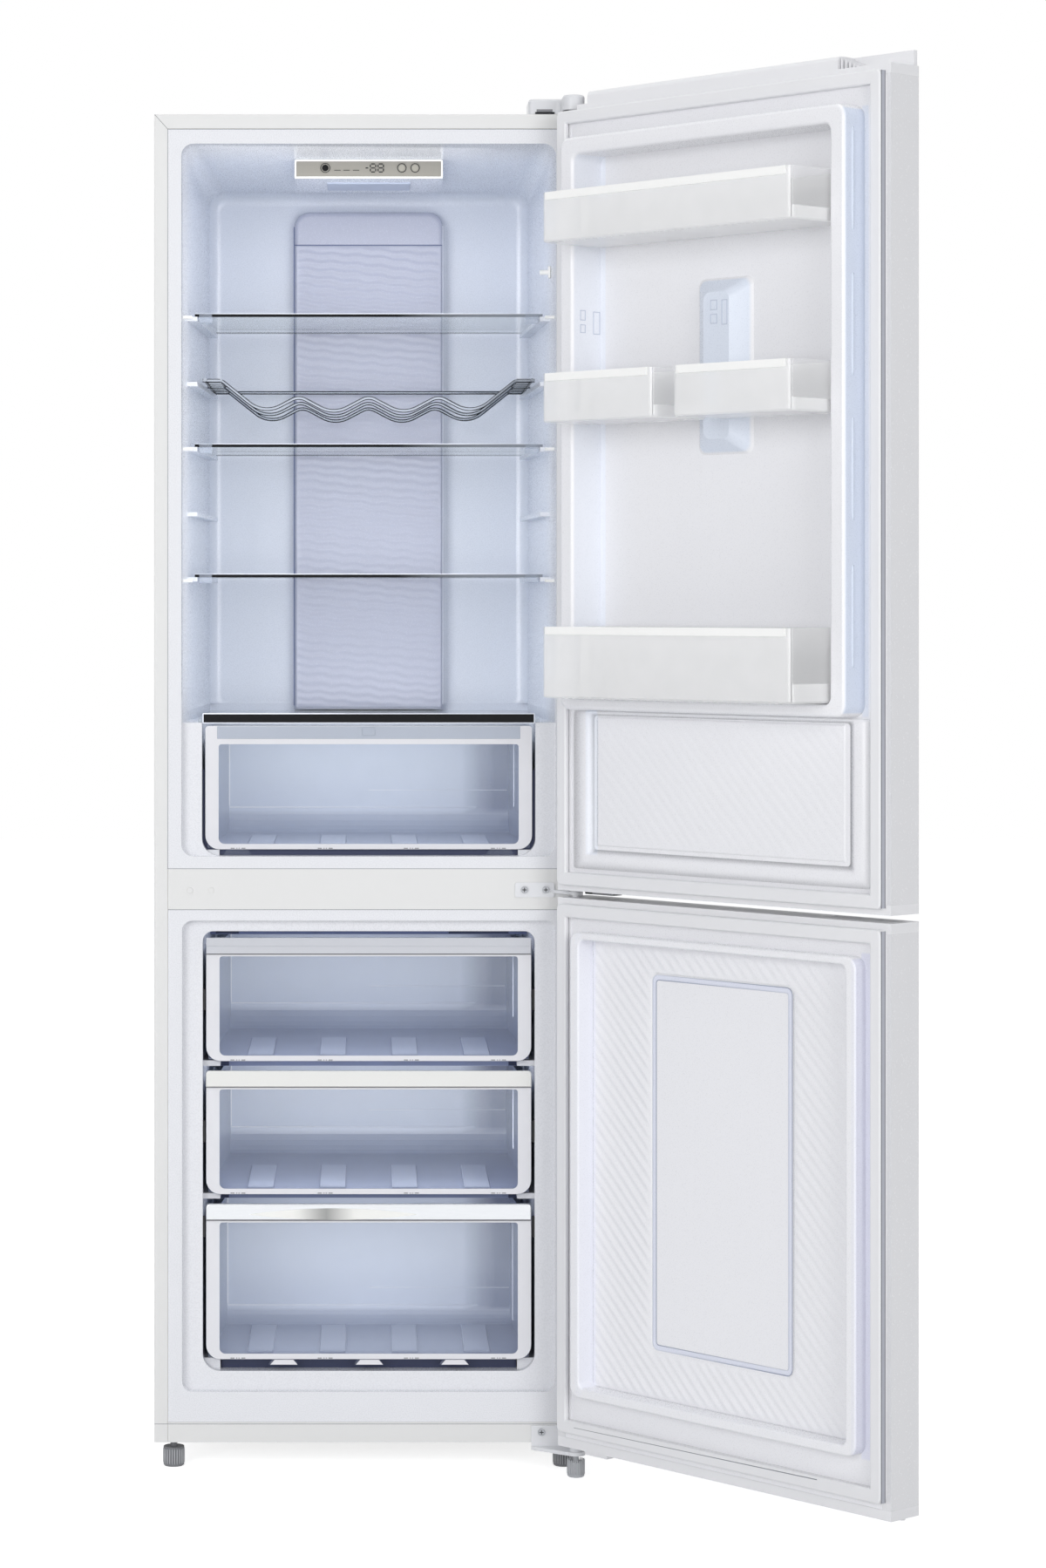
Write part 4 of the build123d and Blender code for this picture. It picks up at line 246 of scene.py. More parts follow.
class FridgeSizes(bpy.types.PropertyGroup):
    """Sizes of the refrigerator's moulded relief and fittings."""

    duct_ripple: length(12.3, "Duct ripple", "Spacing of the ripples on the air duct cover")
    duct_depth: length(1.2, "Duct ripple height", "Height of those ripples")
    door_ripple: length(13.0, "Door ripple", "Spacing of the slanted ripples in the lower door")
    door_depth: length(1.7, "Door ripple height", "Height of those ripples")
    pad_depth: length(0.6, "Pad ripple height", "Height of the ripples low in the upper door")
    wire: length(2.5, "Wire radius", "Radius of the bottle rack's wires")
    edge_strip: length(4.0, "Shelf edge", "Height of the dark edge of each shelf")


# ---------------------------------------------------------------- making meshes
def finish_piece(name, mesh, body, turn=STILL):
    """Put a mesh that is drawn in millimetres into the scene as a piece that rides on a body."""
    mesh.transform(Matrix.Scale(0.001, 4) @ turn)
    piece = bpy.data.objects.new(name, mesh)
    bpy.context.scene.collection.objects.link(piece)
    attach(piece, body)


def piece_from(name, sheet, material, body, slot, turn=STILL, smooth=False, tone=None):
    """Close a drawn shape, face it outwards and finish it as a piece; tone gives each point its shade."""
    bmesh.ops.remove_doubles(sheet, verts=sheet.verts, dist=1e-4)
    bmesh.ops.recalc_face_normals(sheet, faces=sheet.faces)
    for face in sheet.faces:
        face.smooth = smooth
    mesh = bpy.data.meshes.new(name)
    sheet.to_mesh(mesh)
    sheet.free()
    mesh.materials.append(MADE[material])
    if tone:
        shades = mesh.attributes.new("tone", "FLOAT", "POINT")
        for vertex, shade in zip(mesh.vertices, shades.data):
            shade.value = tone(*vertex.co)
    finish_piece(name, mesh, body, turn)


def block(sheet, x, y, z, edge):
    """Add a box between low and high ends in millimetres, its edges eased by edge."""
    corners = [sheet.verts.new((x[i], y[j], z[k])) for i in (0, 1) for j in (0, 1) for k in (0, 1)]
    loops = ((0, 1, 3, 2), (4, 6, 7, 5), (0, 4, 5, 1), (2, 3, 7, 6), (0, 2, 6, 4), (1, 5, 7, 3))
    faces = [sheet.faces.new([corners[i] for i in loop]) for loop in loops]
    edges = {line for face in faces for line in face.edges}
    bmesh.ops.bevel(sheet, geom=list(edges), offset=edge, segments=2, affect="EDGES", profile=0.5)


def blocks(name, boxes, material, body, slot, turn=STILL, tone=None):
    """Finish one piece made of boxes: spans in x, y and z, and how far the edges are eased."""
    sheet = bmesh.new()
    for box in boxes:
        block(sheet, *box)
    piece_from(name, sheet, material, body, slot, turn, tone=tone)


def around(middle, half):
    """The span on both sides of a middle."""
    return (middle - half, middle + half)


def border(a, b, line):
    """Four strips along the inside of a rectangle's border, as spans along and up."""
    sides = [((side, side + line), b) for side in (a[0], a[1] - line)]
    return sides + [(a, (level, level + line)) for level in (b[0], b[1] - line)]


def rounded(x, z, low_radius, high_radius, steps=6):
    """Outline of a rectangle with its own radius for the lower and the upper corners."""
    corners = (
        (x[1] - low_radius, z[0] + low_radius, low_radius, -90),
        (x[1] - high_radius, z[1] - high_radius, high_radius, 0),
        (x[0] + high_radius, z[1] - high_radius, high_radius, 90),
        (x[0] + low_radius, z[0] + low_radius, low_radius, 180),
    )
    points = []
    for cx, cz, radius, start in corners:
        for i in range(steps + 1):
            angle = math.radians(start + 90.0 * i / steps)
            points.append((cx + radius * math.cos(angle), cz + radius * math.sin(angle)))
    return points


def plate(sheet, outline, y):
    """Add a flat plate: an outline in x and z, between two depths."""
    rings = [[sheet.verts.new((px, depth, pz)) for px, pz in outline] for depth in y]
    sheet.faces.new(rings[0])
    sheet.faces.new(rings[1])
    for i in range(len(outline)):
        j = (i + 1) % len(outline)
        sheet.faces.new((rings[0][i], rings[0][j], rings[1][j], rings[1][i]))


def ring(sheet, stations, open_top=False):
    """Add a frame through outlines of as many points, each at its depth; open_top leaves out the top run."""
    count = len(stations[0][0])
    top = count // 2 - 1
    rings = [[sheet.verts.new((px, y, pz)) for px, pz in outline] for outline, y in stations]
    for i in range(count):
        if open_top and i == top:
            continue
        j = (i + 1) % count
        for k in range(len(rings)):
            a, b = rings[k], rings[(k + 1) % len(rings)]
            sheet.faces.new((a[i], a[j], b[j], b[i]))
    if open_top:
        for i in (top, top + 1):
            sheet.faces.new([loop[i] for loop in rings])


def hoop(sheet, outer, inner, y, open_top=False):
    """Add a flat frame between two outlines of as many points."""
    ring(sheet, ((outer, y[0]), (outer, y[1]), (inner, y[1]), (inner, y[0])), open_top)


# ---------------------------------------------------------------- nodes
def add(tree, kind, fills=None, **settings):
    """Add a node with its settings; fills gives sockets by name or number a value or a link."""
    made = tree.nodes.new(kind)
    for name, value in settings.items():
        setattr(made, name, value)
    for key, value in (fills or {}).items():
        if isinstance(value, bpy.types.NodeSocket):
            tree.links.new(value, made.inputs[key])
        else:
            made.inputs[key].default_value = value
    return made


def feed(tree, shader, **links):
    """Link results into a shader's sockets, which are named with _ for a space."""
    for name, result in links.items():
        tree.links.new(result, shader.inputs[name.replace("_", " ")])


def calc(tree, operation, *values, **settings):
    """The result of a Math node."""
    return add(tree, "ShaderNodeMath", dict(enumerate(values)), operation=operation, **settings).outputs[0]


def combined(tree, operation, values):
    """The result of one Math operation over many values."""
    return reduce(lambda a, b: calc(tree, operation, a, b), values)


def vector(tree, operation, *values):
    """The result of a Vector Math node."""
    made = add(tree, "ShaderNodeVectorMath", dict(enumerate(values)), operation=operation)
    return made.outputs["Value" if operation == "LENGTH" else "Vector"]


def xyz(tree, **parts):
    """A vector made from some of its parts."""
    fills = {name.upper(): part for name, part in parts.items()}
    return add(tree, "ShaderNodeCombineXYZ", fills).outputs[0]


def axes_of(tree, whole):
    """The x, y and z of a vector."""
    return tuple(add(tree, "ShaderNodeSeparateXYZ", {0: whole}).outputs)


def remap(tree, value, low, high, to_low=0.0, to_high=1.0, **settings):
    """A value moved from one span to another."""
    fills = {0: value, 1: low, 2: high, 3: to_low, 4: to_high}
    return add(tree, "ShaderNodeMapRange", fills, **settings).outputs[0]


def mix(tree, factor, low, high):
    """A colour between two."""
    return add(tree, "ShaderNodeMix", {0: factor, 6: low, 7: high}, data_type="RGBA").outputs[2]


def noise(tree, place, scale, detail):
    """Soft noise at a place."""
    return add(tree, "ShaderNodeTexNoise", {"Vector": place, "Scale": scale, "Detail": detail}).outputs[0]


def bump(tree, strength, distance, height):
    """A normal tilted by a height."""
    fills = {"Strength": strength, "Distance": distance, "Height": height}
    return add(tree, "ShaderNodeBump", fills).outputs[0]


def start_finish(name, **sockets):
    """A new material with one Principled shader, its plain sockets set."""
    material = bpy.data.materials.new(name)
    material.use_nodes = True
    tree = material.node_tree
    tree.nodes.clear()
    shader = add(tree, "ShaderNodeBsdfPrincipled", {k.replace("_", " "): v for k, v in sockets.items()})
    add(tree, "ShaderNodeOutputMaterial", {"Surface": shader.outputs[0]})
    place = add(tree, "ShaderNodeTexCoord").outputs["Object"]
    MADE[name] = material
    return tree, shader, place


def grained(name, tint, roughness, grain, height, wander=0.02, **sockets):
    """A moulded, formed or coated surface: a grain in millimetres, and a slight drift of tone and gloss."""
    tree, shader, place = start_finish(name, Roughness=roughness, **sockets)
    darker = tuple(c * (1.0 - 2.0 * wander) for c in tint[:3]) + (1.0,)
    tone = mix(tree, noise(tree, place, 6.0, 2.0), darker, tuple(tint))
    fine = noise(tree, place, 1000.0 / grain, 2.0)
    gloss = remap(tree, fine, 0.3, 0.7, max(roughness - 0.05, 0.02), roughness + 0.05)
    feed(tree, shader, Base_Color=tone, Roughness=gloss, Normal=bump(tree, 0.5, height / 1000.0, fine))
    return tree, shader, place


def formed_liner(name, mouth, deep, depth):
    """Vacuum-formed polystyrene: soft gloss, with painted shade that turns it bluer the deeper it lies in the
    compartment.
    """
    tree, shader, place = grained(name, mouth, 0.28, 1.4, 0.05, IOR=1.59)
    # painted shade: bluer with depth into the compartment
    drawn = remap(tree, axes_of(tree, place)[1], *depth, interpolation_type="SMOOTHSTEP")
    feed(tree, shader, Base_Color=mix(tree, drawn, tuple(mouth), tuple(deep)))


def shaded(name, dark, light, roughness, **sockets):
    """A surface with painted light and shade: it goes from a dark to a light tint with the tone on its own
    points.
    """
    tree, shader, _ = grained(name, linear(light), roughness, 1.0, 0.03, 0.0, **sockets)
    tone = add(tree, "ShaderNodeAttribute", attribute_name="tone").outputs["Fac"]
    feed(tree, shader, Base_Color=mix(tree, tone, linear(dark), linear(light)))


def box_mask(tree, axes, spans, ease):
    """One inside a box given in millimetres, easing to zero past it."""
    masks = []
    for value, span in zip(axes, spans):
        low, high, past = span[0] / 1000.0, span[1] / 1000.0, ease / 1000.0
        masks += [remap(tree, value, low - past, low), remap(tree, value, high, high + past, 1.0, 0.0)]
    return combined(tree, "MULTIPLY", masks)


def door_axes(tree, place):
    """Object coordinates turned back to where a door stands shut, as x, y and z."""
    shut = DOOR_TURN.inverted()
    fills = {"Vector": place, "Location": shut.translation / 1000.0, "Rotation": shut.to_euler()}
    return axes_of(tree, add(tree, "ShaderNodeMapping", fills).outputs[0])


def formed_door_liner(name, tint, zones):
    """Vacuum-formed door liner, with painted light and shade: bluer on the steep flanks and the rib, by how
    light falls there.
    """
    tree, shader, place = grained(name, tint, 0.3, 1.4, 0.05, 0.01, IOR=1.59)
    axes = door_axes(tree, place)
    shade = tuple(tint)
    # painted light and shade: each zone's tint takes over the liner's inside its box
    for thin, *spans in zones:
        shade = mix(tree, box_mask(tree, axes, spans, 3.0), shade, linear(thin))
    feed(tree, shader, Base_Color=shade)


def clear_moulding(name, tint, thin, thick, roughness=0.12, low_tint=None, levels=(0.0, 1.0)):
    """Injection-moulded clear polystyrene: clearest seen square on, milky at edges, and darker low down as
    painted shade.
    """
    tree, shader, place = start_finish(name, Base_Color=tuple(tint), Roughness=roughness, IOR=1.59)
    edge = add(tree, "ShaderNodeLayerWeight", {"Blend": 0.35}).outputs["Facing"]
    flow = noise(tree, place, 22.0, 1.0)
    cloud = remap(tree, flow, 0.3, 0.7, -0.012, 0.012)
    alpha = calc(tree, "ADD", remap(tree, edge, 0.0, 1.0, thin, thick), cloud, use_clamp=True)
    feed(tree, shader, Alpha=alpha, Normal=bump(tree, 0.3, 0.0004, flow))
    if low_tint:
        low, high = (level / 1000.0 for level in levels)
        rise = remap(tree, axes_of(tree, place)[2], low, high, interpolation_type="SMOOTHSTEP")
        feed(tree, shader, Base_Color=mix(tree, rise, low_tint, tuple(tint)))
    return tree, shader, place


def clear_bin(name, tint):
    """Frosted bin moulding: milky in front, see-through in the windows of its end walls."""
    tree, shader, place = clear_moulding(name, tint, 0.42, 0.8)
    x, y, z = door_axes(tree, place)
    axes = (calc(tree, "ABSOLUTE", x), y, z)
    masks = []
    for ends, (low, high) in [((219.0, 226.0), level) for level in BINS] + [((15.0, 20.0), BINS[1])]:
        window = (ends, (6.0, 89.0), (low + 0.27 * (high - low), high + 2.0))
        masks.append(box_mask(tree, axes, window, 1.5))
    keep = remap(tree, combined(tree, "MAXIMUM", masks), 0.0, 1.0, 1.0, 0.26)
    milky = shader.inputs["Alpha"].links[0].from_socket
    feed(tree, shader, Alpha=calc(tree, "MULTIPLY", milky, keep))


def plated(name, tint, roughness, grain, rim):
    """Plated or bare metal with fine marks along X; rim darkens it where it turns from the eye, a painted
    dark reflection.
    """
    tree, shader, place = start_finish(name, Metallic=1.0, Roughness=roughness, Base_Color=tint)
    along = add(tree, "ShaderNodeMapping", {"Vector": place, "Scale": (0.05, 1.0, 1.0)}).outputs[0]
    marks = noise(tree, along, 1000.0 / grain, 3.0)
    feed(tree, shader, Roughness=remap(tree, marks, 0.3, 0.7, max(roughness - 0.04, 0.02), roughness + 0.04))
    # painted reflection: the tint turns to the rim's where the surface turns from the eye
    if rim:
        edge = add(tree, "ShaderNodeLayerWeight", {"Blend": 0.5}).outputs["Facing"]
        shader.inputs["Specular Tint"].default_value = linear(rim)
        feed(tree, shader, Base_Color=mix(tree, remap(tree, edge, 0.05, 0.35), tint, linear(rim)))


def glass_edge(name, dark, pale):
    """Polished glass edge: nearly black, and paler towards the side where it mirrors the open door, a painted
    reflection.
    """
    tree, shader, place = grained(name, linear(dark), 0.15, 2.0, 0.01, 0.0, Specular_IOR_Level=0.12)
    mirrored = remap(tree, axes_of(tree, place)[0], 0.04, 0.25)
    feed(tree, shader, Base_Color=mix(tree, mirrored, linear(dark), linear(pale)))


# ---------------------------------------------------------------- geometry node trees
def start_tree(name, takes_points=False, **kinds):
    """A new geometry node tree with named inputs of each kind and a material; returns it and its inputs."""
    tree = bpy.data.node_groups.new(name, "GeometryNodeTree")
    if takes_points:
        tree.interface.new_socket("Points", in_out="INPUT", socket_type="NodeSocketGeometry")
    for kind, labels in kinds.items():
        for label in labels:
            tree.interface.new_socket(label, in_out="INPUT", socket_type="NodeSocket" + kind)
    tree.interface.new_socket("Material", in_out="INPUT", socket_type="NodeSocketMaterial")
    tree.interface.new_socket("Geometry", in_out="OUTPUT", socket_type="NodeSocketGeometry")
    return tree, add(tree, "NodeGroupInput").outputs


def end_tree(tree, value, geometry):
    """Realize what a tree made, give it its material and put it out."""
    real = add(tree, "GeometryNodeRealizeInstances", {0: geometry})
    fills = {"Geometry": real.outputs[0], "Material": value["Material"]}
    dressed = add(tree, "GeometryNodeSetMaterial", fills)
    add(tree, "NodeGroupOutput", {0: dressed.outputs[0]})
    return tree


def grow(name, maker, values, seed=None):
    """Run a tree on an object, after its inputs are set, and return the result as a plain mesh."""
    tree = bpy.data.node_groups.get(name) or maker(name)
    mesh = bpy.data.meshes.new(name)
    if seed:
        mesh.from_pydata(seed[0], seed[1], [])
    holder = bpy.data.objects.new(name, mesh)
    modifier = holder.modifiers.new(name, "NODES")
    modifier.node_group = tree
    for item in tree.interface.items_tree:
        if item.in_out == "INPUT" and item.name in values:
            modifier[item.identifier] = values[item.name]
    bpy.context.scene.collection.objects.link(holder)
    bpy.context.view_layer.update()
    seen = holder.evaluated_get(bpy.context.evaluated_depsgraph_get())
    result = bpy.data.meshes.new_from_object(seen)
    holder.modifiers.remove(modifier)
    bpy.data.objects.remove(holder)
    if not result.polygons:
        raise RuntimeError(f"{name} made nothing")
    return result


def ripple_tree(name):
    """A closed sheet with wavy ribs that fade out at its rim and round an opening in it."""
    numbers = ["Corner", "Pitch", "Run", "Slant", "Height", "Wander", "Sway", "Sway run"]
    numbers += ["Rim", "Mesh size", "Thickness"]
    tree, value = start_tree(name, Vector=("Size", "Opening", "Opening place"), Float=numbers)
    wide, tall, _ = axes_of(tree, value["Size"])
    cells = [calc(tree, "ADD", calc(tree, "DIVIDE", run, value["Mesh size"]), 2.0) for run in (wide, tall)]
    fills = {"Size X": wide, "Size Y": tall, "Vertices X": cells[0], "Vertices Y": cells[1]}
    grid = add(tree, "GeometryNodeMeshGrid", fills).outputs[0]
    place = add(tree, "GeometryNodeInputPosition").outputs[0]
    # how near each point is to the rim or to the rounded opening
    to_half = (0.5, 0.5, 0.5)
    half = vector(tree, "MULTIPLY", value["Size"], to_half)
    rim = axes_of(tree, vector(tree, "SUBTRACT", half, vector(tree, "ABSOLUTE", place)))
    hole = vector(tree, "MULTIPLY", value["Opening"], to_half)
    core = vector(tree, "SUBTRACT", hole, xyz(tree, x=value["Corner"], y=value["Corner"]))
    off = vector(tree, "ABSOLUTE", vector(tree, "SUBTRACT", place, value["Opening place"]))
    past = vector(tree, "MAXIMUM", vector(tree, "SUBTRACT", off, core), (0.0, 0.0, 0.0))
    gap_near = calc(tree, "SUBTRACT", vector(tree, "LENGTH", past), value["Corner"])
    near = combined(tree, "MINIMUM", (rim[0], rim[1], gap_near))
    fade = remap(tree, near, 0.0, value["Rim"], interpolation_type="SMOOTHSTEP")
    # the ribs run across the slant and sway along it
    fills = {"Vector": place, "Angle": value["Slant"]}
    turned = add(tree, "ShaderNodeVectorRotate", fills, rotation_type="Z_AXIS").outputs[0]
    turns = calc(tree, "DIVIDE", axes_of(tree, turned)[0], value["Sway run"])
    wave = calc(tree, "SINE", calc(tree, "MULTIPLY", turns, math.tau))
    swayed = vector(tree, "ADD", turned, xyz(tree, y=calc(tree, "MULTIPLY", wave, value["Sway"])))
    fills = {
        "Vector": vector(tree, "DIVIDE", swayed, xyz(tree, x=value["Run"], y=value["Pitch"], z=1.0)),
        "Scale": math.pi / 10.0,  # one band is a twentieth of a turn long at scale 1
        "Distortion": value["Wander"],
        "Detail": 1.0,
        "Detail Scale": 1.0,
    }
    ribs = add(tree, "ShaderNodeTexWave", fills, bands_direction="Y").outputs["Fac"]
    rise = xyz(tree, z=combined(tree, "MULTIPLY", (ribs, value["Height"], fade)))
    fills = {"Geometry": grid, "Selection": calc(tree, "LESS_THAN", gap_near, 0.0)}
    cut = add(tree, "GeometryNodeDeleteGeometry", fills, domain="FACE").outputs[0]
    drop = xyz(tree, z=calc(tree, "MULTIPLY", value["Thickness"], -1.0))
    fills = {"Mesh": cut, "Offset": drop, "Offset Scale": 1.0, "Individual": False}
    walls = add(tree, "GeometryNodeExtrudeMesh", fills).outputs[0]
    flipped = add(tree, "GeometryNodeFlipFaces", {"Mesh": walls}).outputs[0]
    raised = add(tree, "GeometryNodeSetPosition", {"Geometry": cut, "Offset": rise}).outputs[0]
    both = add(tree, "GeometryNodeJoinGeometry")
    for part in (flipped, raised):
        tree.links.new(part, both.inputs[0])
    closed = add(tree, "GeometryNodeMergeByDistance", {"Geometry": both.outputs[0], "Distance": 0.01})
    smooth = add(tree, "GeometryNodeSetShadeSmooth", {"Geometry": closed.outputs[0]})
    return end_tree(tree, value, smooth.outputs[0])


def stud_tree(name):
    """Rounded blocks, one on each point."""
    tree, value = start_tree(name, True, Vector=("Stud",), Float=("Ease",))
    cube = add(tree, "GeometryNodeMeshCube", {"Size": value["Stud"]})
    fills = {"Mesh": cube.outputs[0], "Level": 2, "Edge Crease": value["Ease"]}
    soft = add(tree, "GeometryNodeSubdivisionSurface", fills)
    smooth = add(tree, "GeometryNodeSetShadeSmooth", {"Geometry": soft.outputs[0]})
    fills = {"Points": value["Points"], "Instance": smooth.outputs[0]}
    return end_tree(tree, value, add(tree, "GeometryNodeInstanceOnPoints", fills).outputs[0])


def wire_tree(name):
    """Round wires along the edges that come in."""
    tree, value = start_tree(name, True, Float=("Radius",))
    path = add(tree, "GeometryNodeMeshToCurve", {0: value["Points"]})
    profile = add(tree, "GeometryNodeCurvePrimitiveCircle", {"Resolution": 10, "Radius": value["Radius"]})
    fills = {"Curve": path.outputs[0], "Profile Curve": profile.outputs[0], "Fill Caps": True}
    wire = add(tree, "GeometryNodeCurveToMesh", fills)
    smooth = add(tree, "GeometryNodeSetShadeSmooth", {"Geometry": wire.outputs[0]})
    return end_tree(tree, value, smooth.outputs[0])


def studs(points, size, ease, material):
    """A mesh of rounded blocks of one size, one on each point."""
    values = {"Stud": size, "Ease": ease, "Material": MADE[material]}
    return grow("studs", stud_tree, values, (points, []))


def ripple(name, values, material, body, turn):
    """Grow one rippled sheet and finish it."""
    mesh = grow("ripple_sheet", ripple_tree, dict(values, Material=MADE[material]))
    finish_piece(name, mesh, body, turn)


# ---------------------------------------------------------------- the solids' finishes
class FRIDGE_OT_finishes(bpy.types.Operator):
    """Make the finishes and give each solid its own"""

    bl_idname = "fridge.finishes"
    bl_label = "Finishes"

    def execute(self, context):
        tints = context.scene.fridge_finishes
        for name, code, *rest in GRAINED:
            grained(name, linear(code), *rest)
        for name, code, *rest in PLATED:
            plated(name, linear(code), *rest)
        # powder-coated steel sheet: an even satin white with a fine orange peel
        grained("powder_coated_steel", tints.steel, 0.42, 2.2, 0.06, 0.008)
        # gloss-painted door steel: flatter and shinier, so edges catch a thin light line
        grained("painted_door_steel", tints.door, 0.24, 3.0, 0.03, 0.006, Coat_Weight=0.3)
        # vacuum-formed polystyrene liners: soft gloss, with painted shade: bluer deep in the compartments and
        # on the doors' flanks
        formed_liner("formed_liner_fridge", tints.liner_mouth, tints.liner_deep_shade, (0.0, 0.20))
        formed_liner("formed_liner_freezer", tints.liner_mouth, tints.liner_deep_shade, (0.02, 0.14))
        formed_door_liner("formed_liner_door", tints.door_liner, UPPER_PAINTED_LIGHT)
        formed_door_liner("formed_liner_low_door", linear("#EFEFF2"), LOWER_PAINTED_LIGHT)
        # embossed polystyrene duct cover: pale blue, shinier on its ribs
        grained("duct_cover_plastic", tints.duct, 0.25, 1.2, 0.04, 0.015, IOR=1.59)
        # clear injection-moulded polystyrene: see-through face on, milky at its edges
        clear_bin("clear_bin", linear("#FFFFFF"))
        clear_moulding("clear_bracket", linear("#C6D0E2"), 0.3, 0.7)
        # painted shade: each drawer's clear moulding darker towards its floor
        for name, (low, high) in dict(DRAWERS, crisper=CRISPER).items():
            shade = linear("#BAC3D9" if name in ("crisper", "bottom") else "#A1ABC6")
            spans = (low + 10.0, low + 0.75 * (high - low))
            clear_moulding(f"clear_drawer_{name}", tints.clear, 0.13, 0.6, 0.06, shade, spans)
        clear_moulding("milky_drawer_frame", linear("#EFEFF3"), 0.85, 0.95, 0.2)
        clear_moulding("milky_grip_band", linear("#BEC6D4"), 0.8, 0.92, 0.15)
        # the same polystyrene where its inner faces are seen through the window, with painted shade
        shaded("drawer_inside", "#5F6B8C", "#D3DCEC", 0.3, IOR=1.59)
        # painted highlights: pale strips inside the drawers
        shaded("painted_rib_highlight", "#B4BFD6", "#F4F7FC", 0.2, IOR=1.59)
        # painted reflection in the bottom grip's hollow: a dark and a bright patch of the room
        shaded("grip_scoop_painted_reflection", "#4A4C50", "#F3F3EF", 0.35)
        # painted shade in the groove pressed into the lower door's liner: darker at its edges, bluer on its
        # floor
        shaded("groove_shadow", "#8A91A8", "#ECEEF5", 0.4)
        grained("groove_floor_shade", linear("#E5E8F4"), 0.3, 1.4, 0.03, 0.01, IOR=1.59)
        # float glass, tempered: clear with a cool green-grey cast and dark edges
        clear_moulding("float_glass", tints.glass, 0.14, 0.5, 0.03)
        glass_edge("polished_glass_edge", "#0B0D10", "#8F959E")
        # printed ink and black gloss trim: dark, with little shine of their own; the ink also serves as
        # painted shade under the top hinge cover and in the screws' slots
        grained("printed_ink_and_painted_shade", linear("#1F2023"), 0.5, 0.9, 0.01, 0.01, Specular_IOR_Level=0.2)
        grained("black_gloss_trim", tints.trim, 0.2, 2.0, 0.02, 0.0, Specular_IOR_Level=0.2)
        # printed control panel: satin taupe film
        grained("taupe_panel_film", tints.taupe, 0.32, 0.7, 0.02, 0.01)
        # moulded door caps and soft vinyl seals: even and dull
        grained("grey_abs", tints.cap, 0.45, 0.9, 0.05, 0.02)
        grained("soft_vinyl_seal", tints.gasket, 0.5, 1.2, 0.06, 0.02)
        # painted shade: a dark blue tint for the gaps round the drawers
        grained("deep_gap_shade", tints.gap, 0.5, 1.0, 0.05, 0.1)
        slots = {part["node"]: part["material_slot"] for part in frame["record"]["subparts"]}
        for name, solid in frame["nodes"].items():
            solid.data.materials.clear()
            solid.data.materials.append(MADE[NODE_FINISHES.get(name) or SLOT_FINISHES[slots[name]]])
        return {"FINISHED"}


# ---------------------------------------------------------------- relief
class FRIDGE_OT_duct_ripples(bpy.types.Operator):
    """Cover the air duct's front with level, water-like ripples"""

    bl_idname = "fridge.duct_ripples"
    bl_label = "Duct ripples"

    def execute(self, context):
        sizes = context.scene.fridge_sizes
        low = COVER_LOW + 8.0
        values = {
            "Size": (2 * 110.0, DUCT_SEAM - low - 1.0, 0.0),
            "Opening": (-2.0, -2.0, 0.0),
            "Corner": 0.1,
            "Pitch": sizes.duct_ripple * 1000.0,
            "Run": 34.0,
            "Slant": math.radians(5.0),
            "Height": sizes.duct_depth * 1000.0,
            "Wander": 2.6,
            "Sway": 1.3,
            "Sway run": 37.0,
            "Rim": 8.0,
            "Mesh size": 2.6,
            "Thickness": 0.8,
        }
        place = Matrix.Translation((0.0, DUCT_FRONT - 0.1, (low + DUCT_SEAM) / 2)) @ FACE_OUT
        ripple("duct_ripples", values, "duct_cover_plastic", "cabinet", place)
        front = around(DUCT_FRONT, 0.5)
        # painted shade: a dark strip in the gap along the duct cover's left edge, and a dark line along its
        # seam
        gaps = (
            ((-113.0, -111.6), front, (COVER_LOW + 12.0, 1770.0), 0.2),
            ((-111.5, 110.5), front, (DUCT_SEAM - 0.8, DUCT_SEAM + 0.5), 0.2),
        )
        blocks("duct_edge_gaps", gaps, "slate_seal", "cabinet", "duct_lower")
        # painted highlights: two pale strips along the duct cover's right edge
        front, tall = around(DUCT_FRONT, 0.6), (COVER_LOW + 14.0, 1772.0)
        edges = [(x, front, tall, 0.2) for x in ((111.2, 112.5), (114.6, 115.4))]
        blocks("duct_edge_highlights", edges, "pale_edge_plastic", "cabinet", "duct_lower")
        return {"FINISHED"}


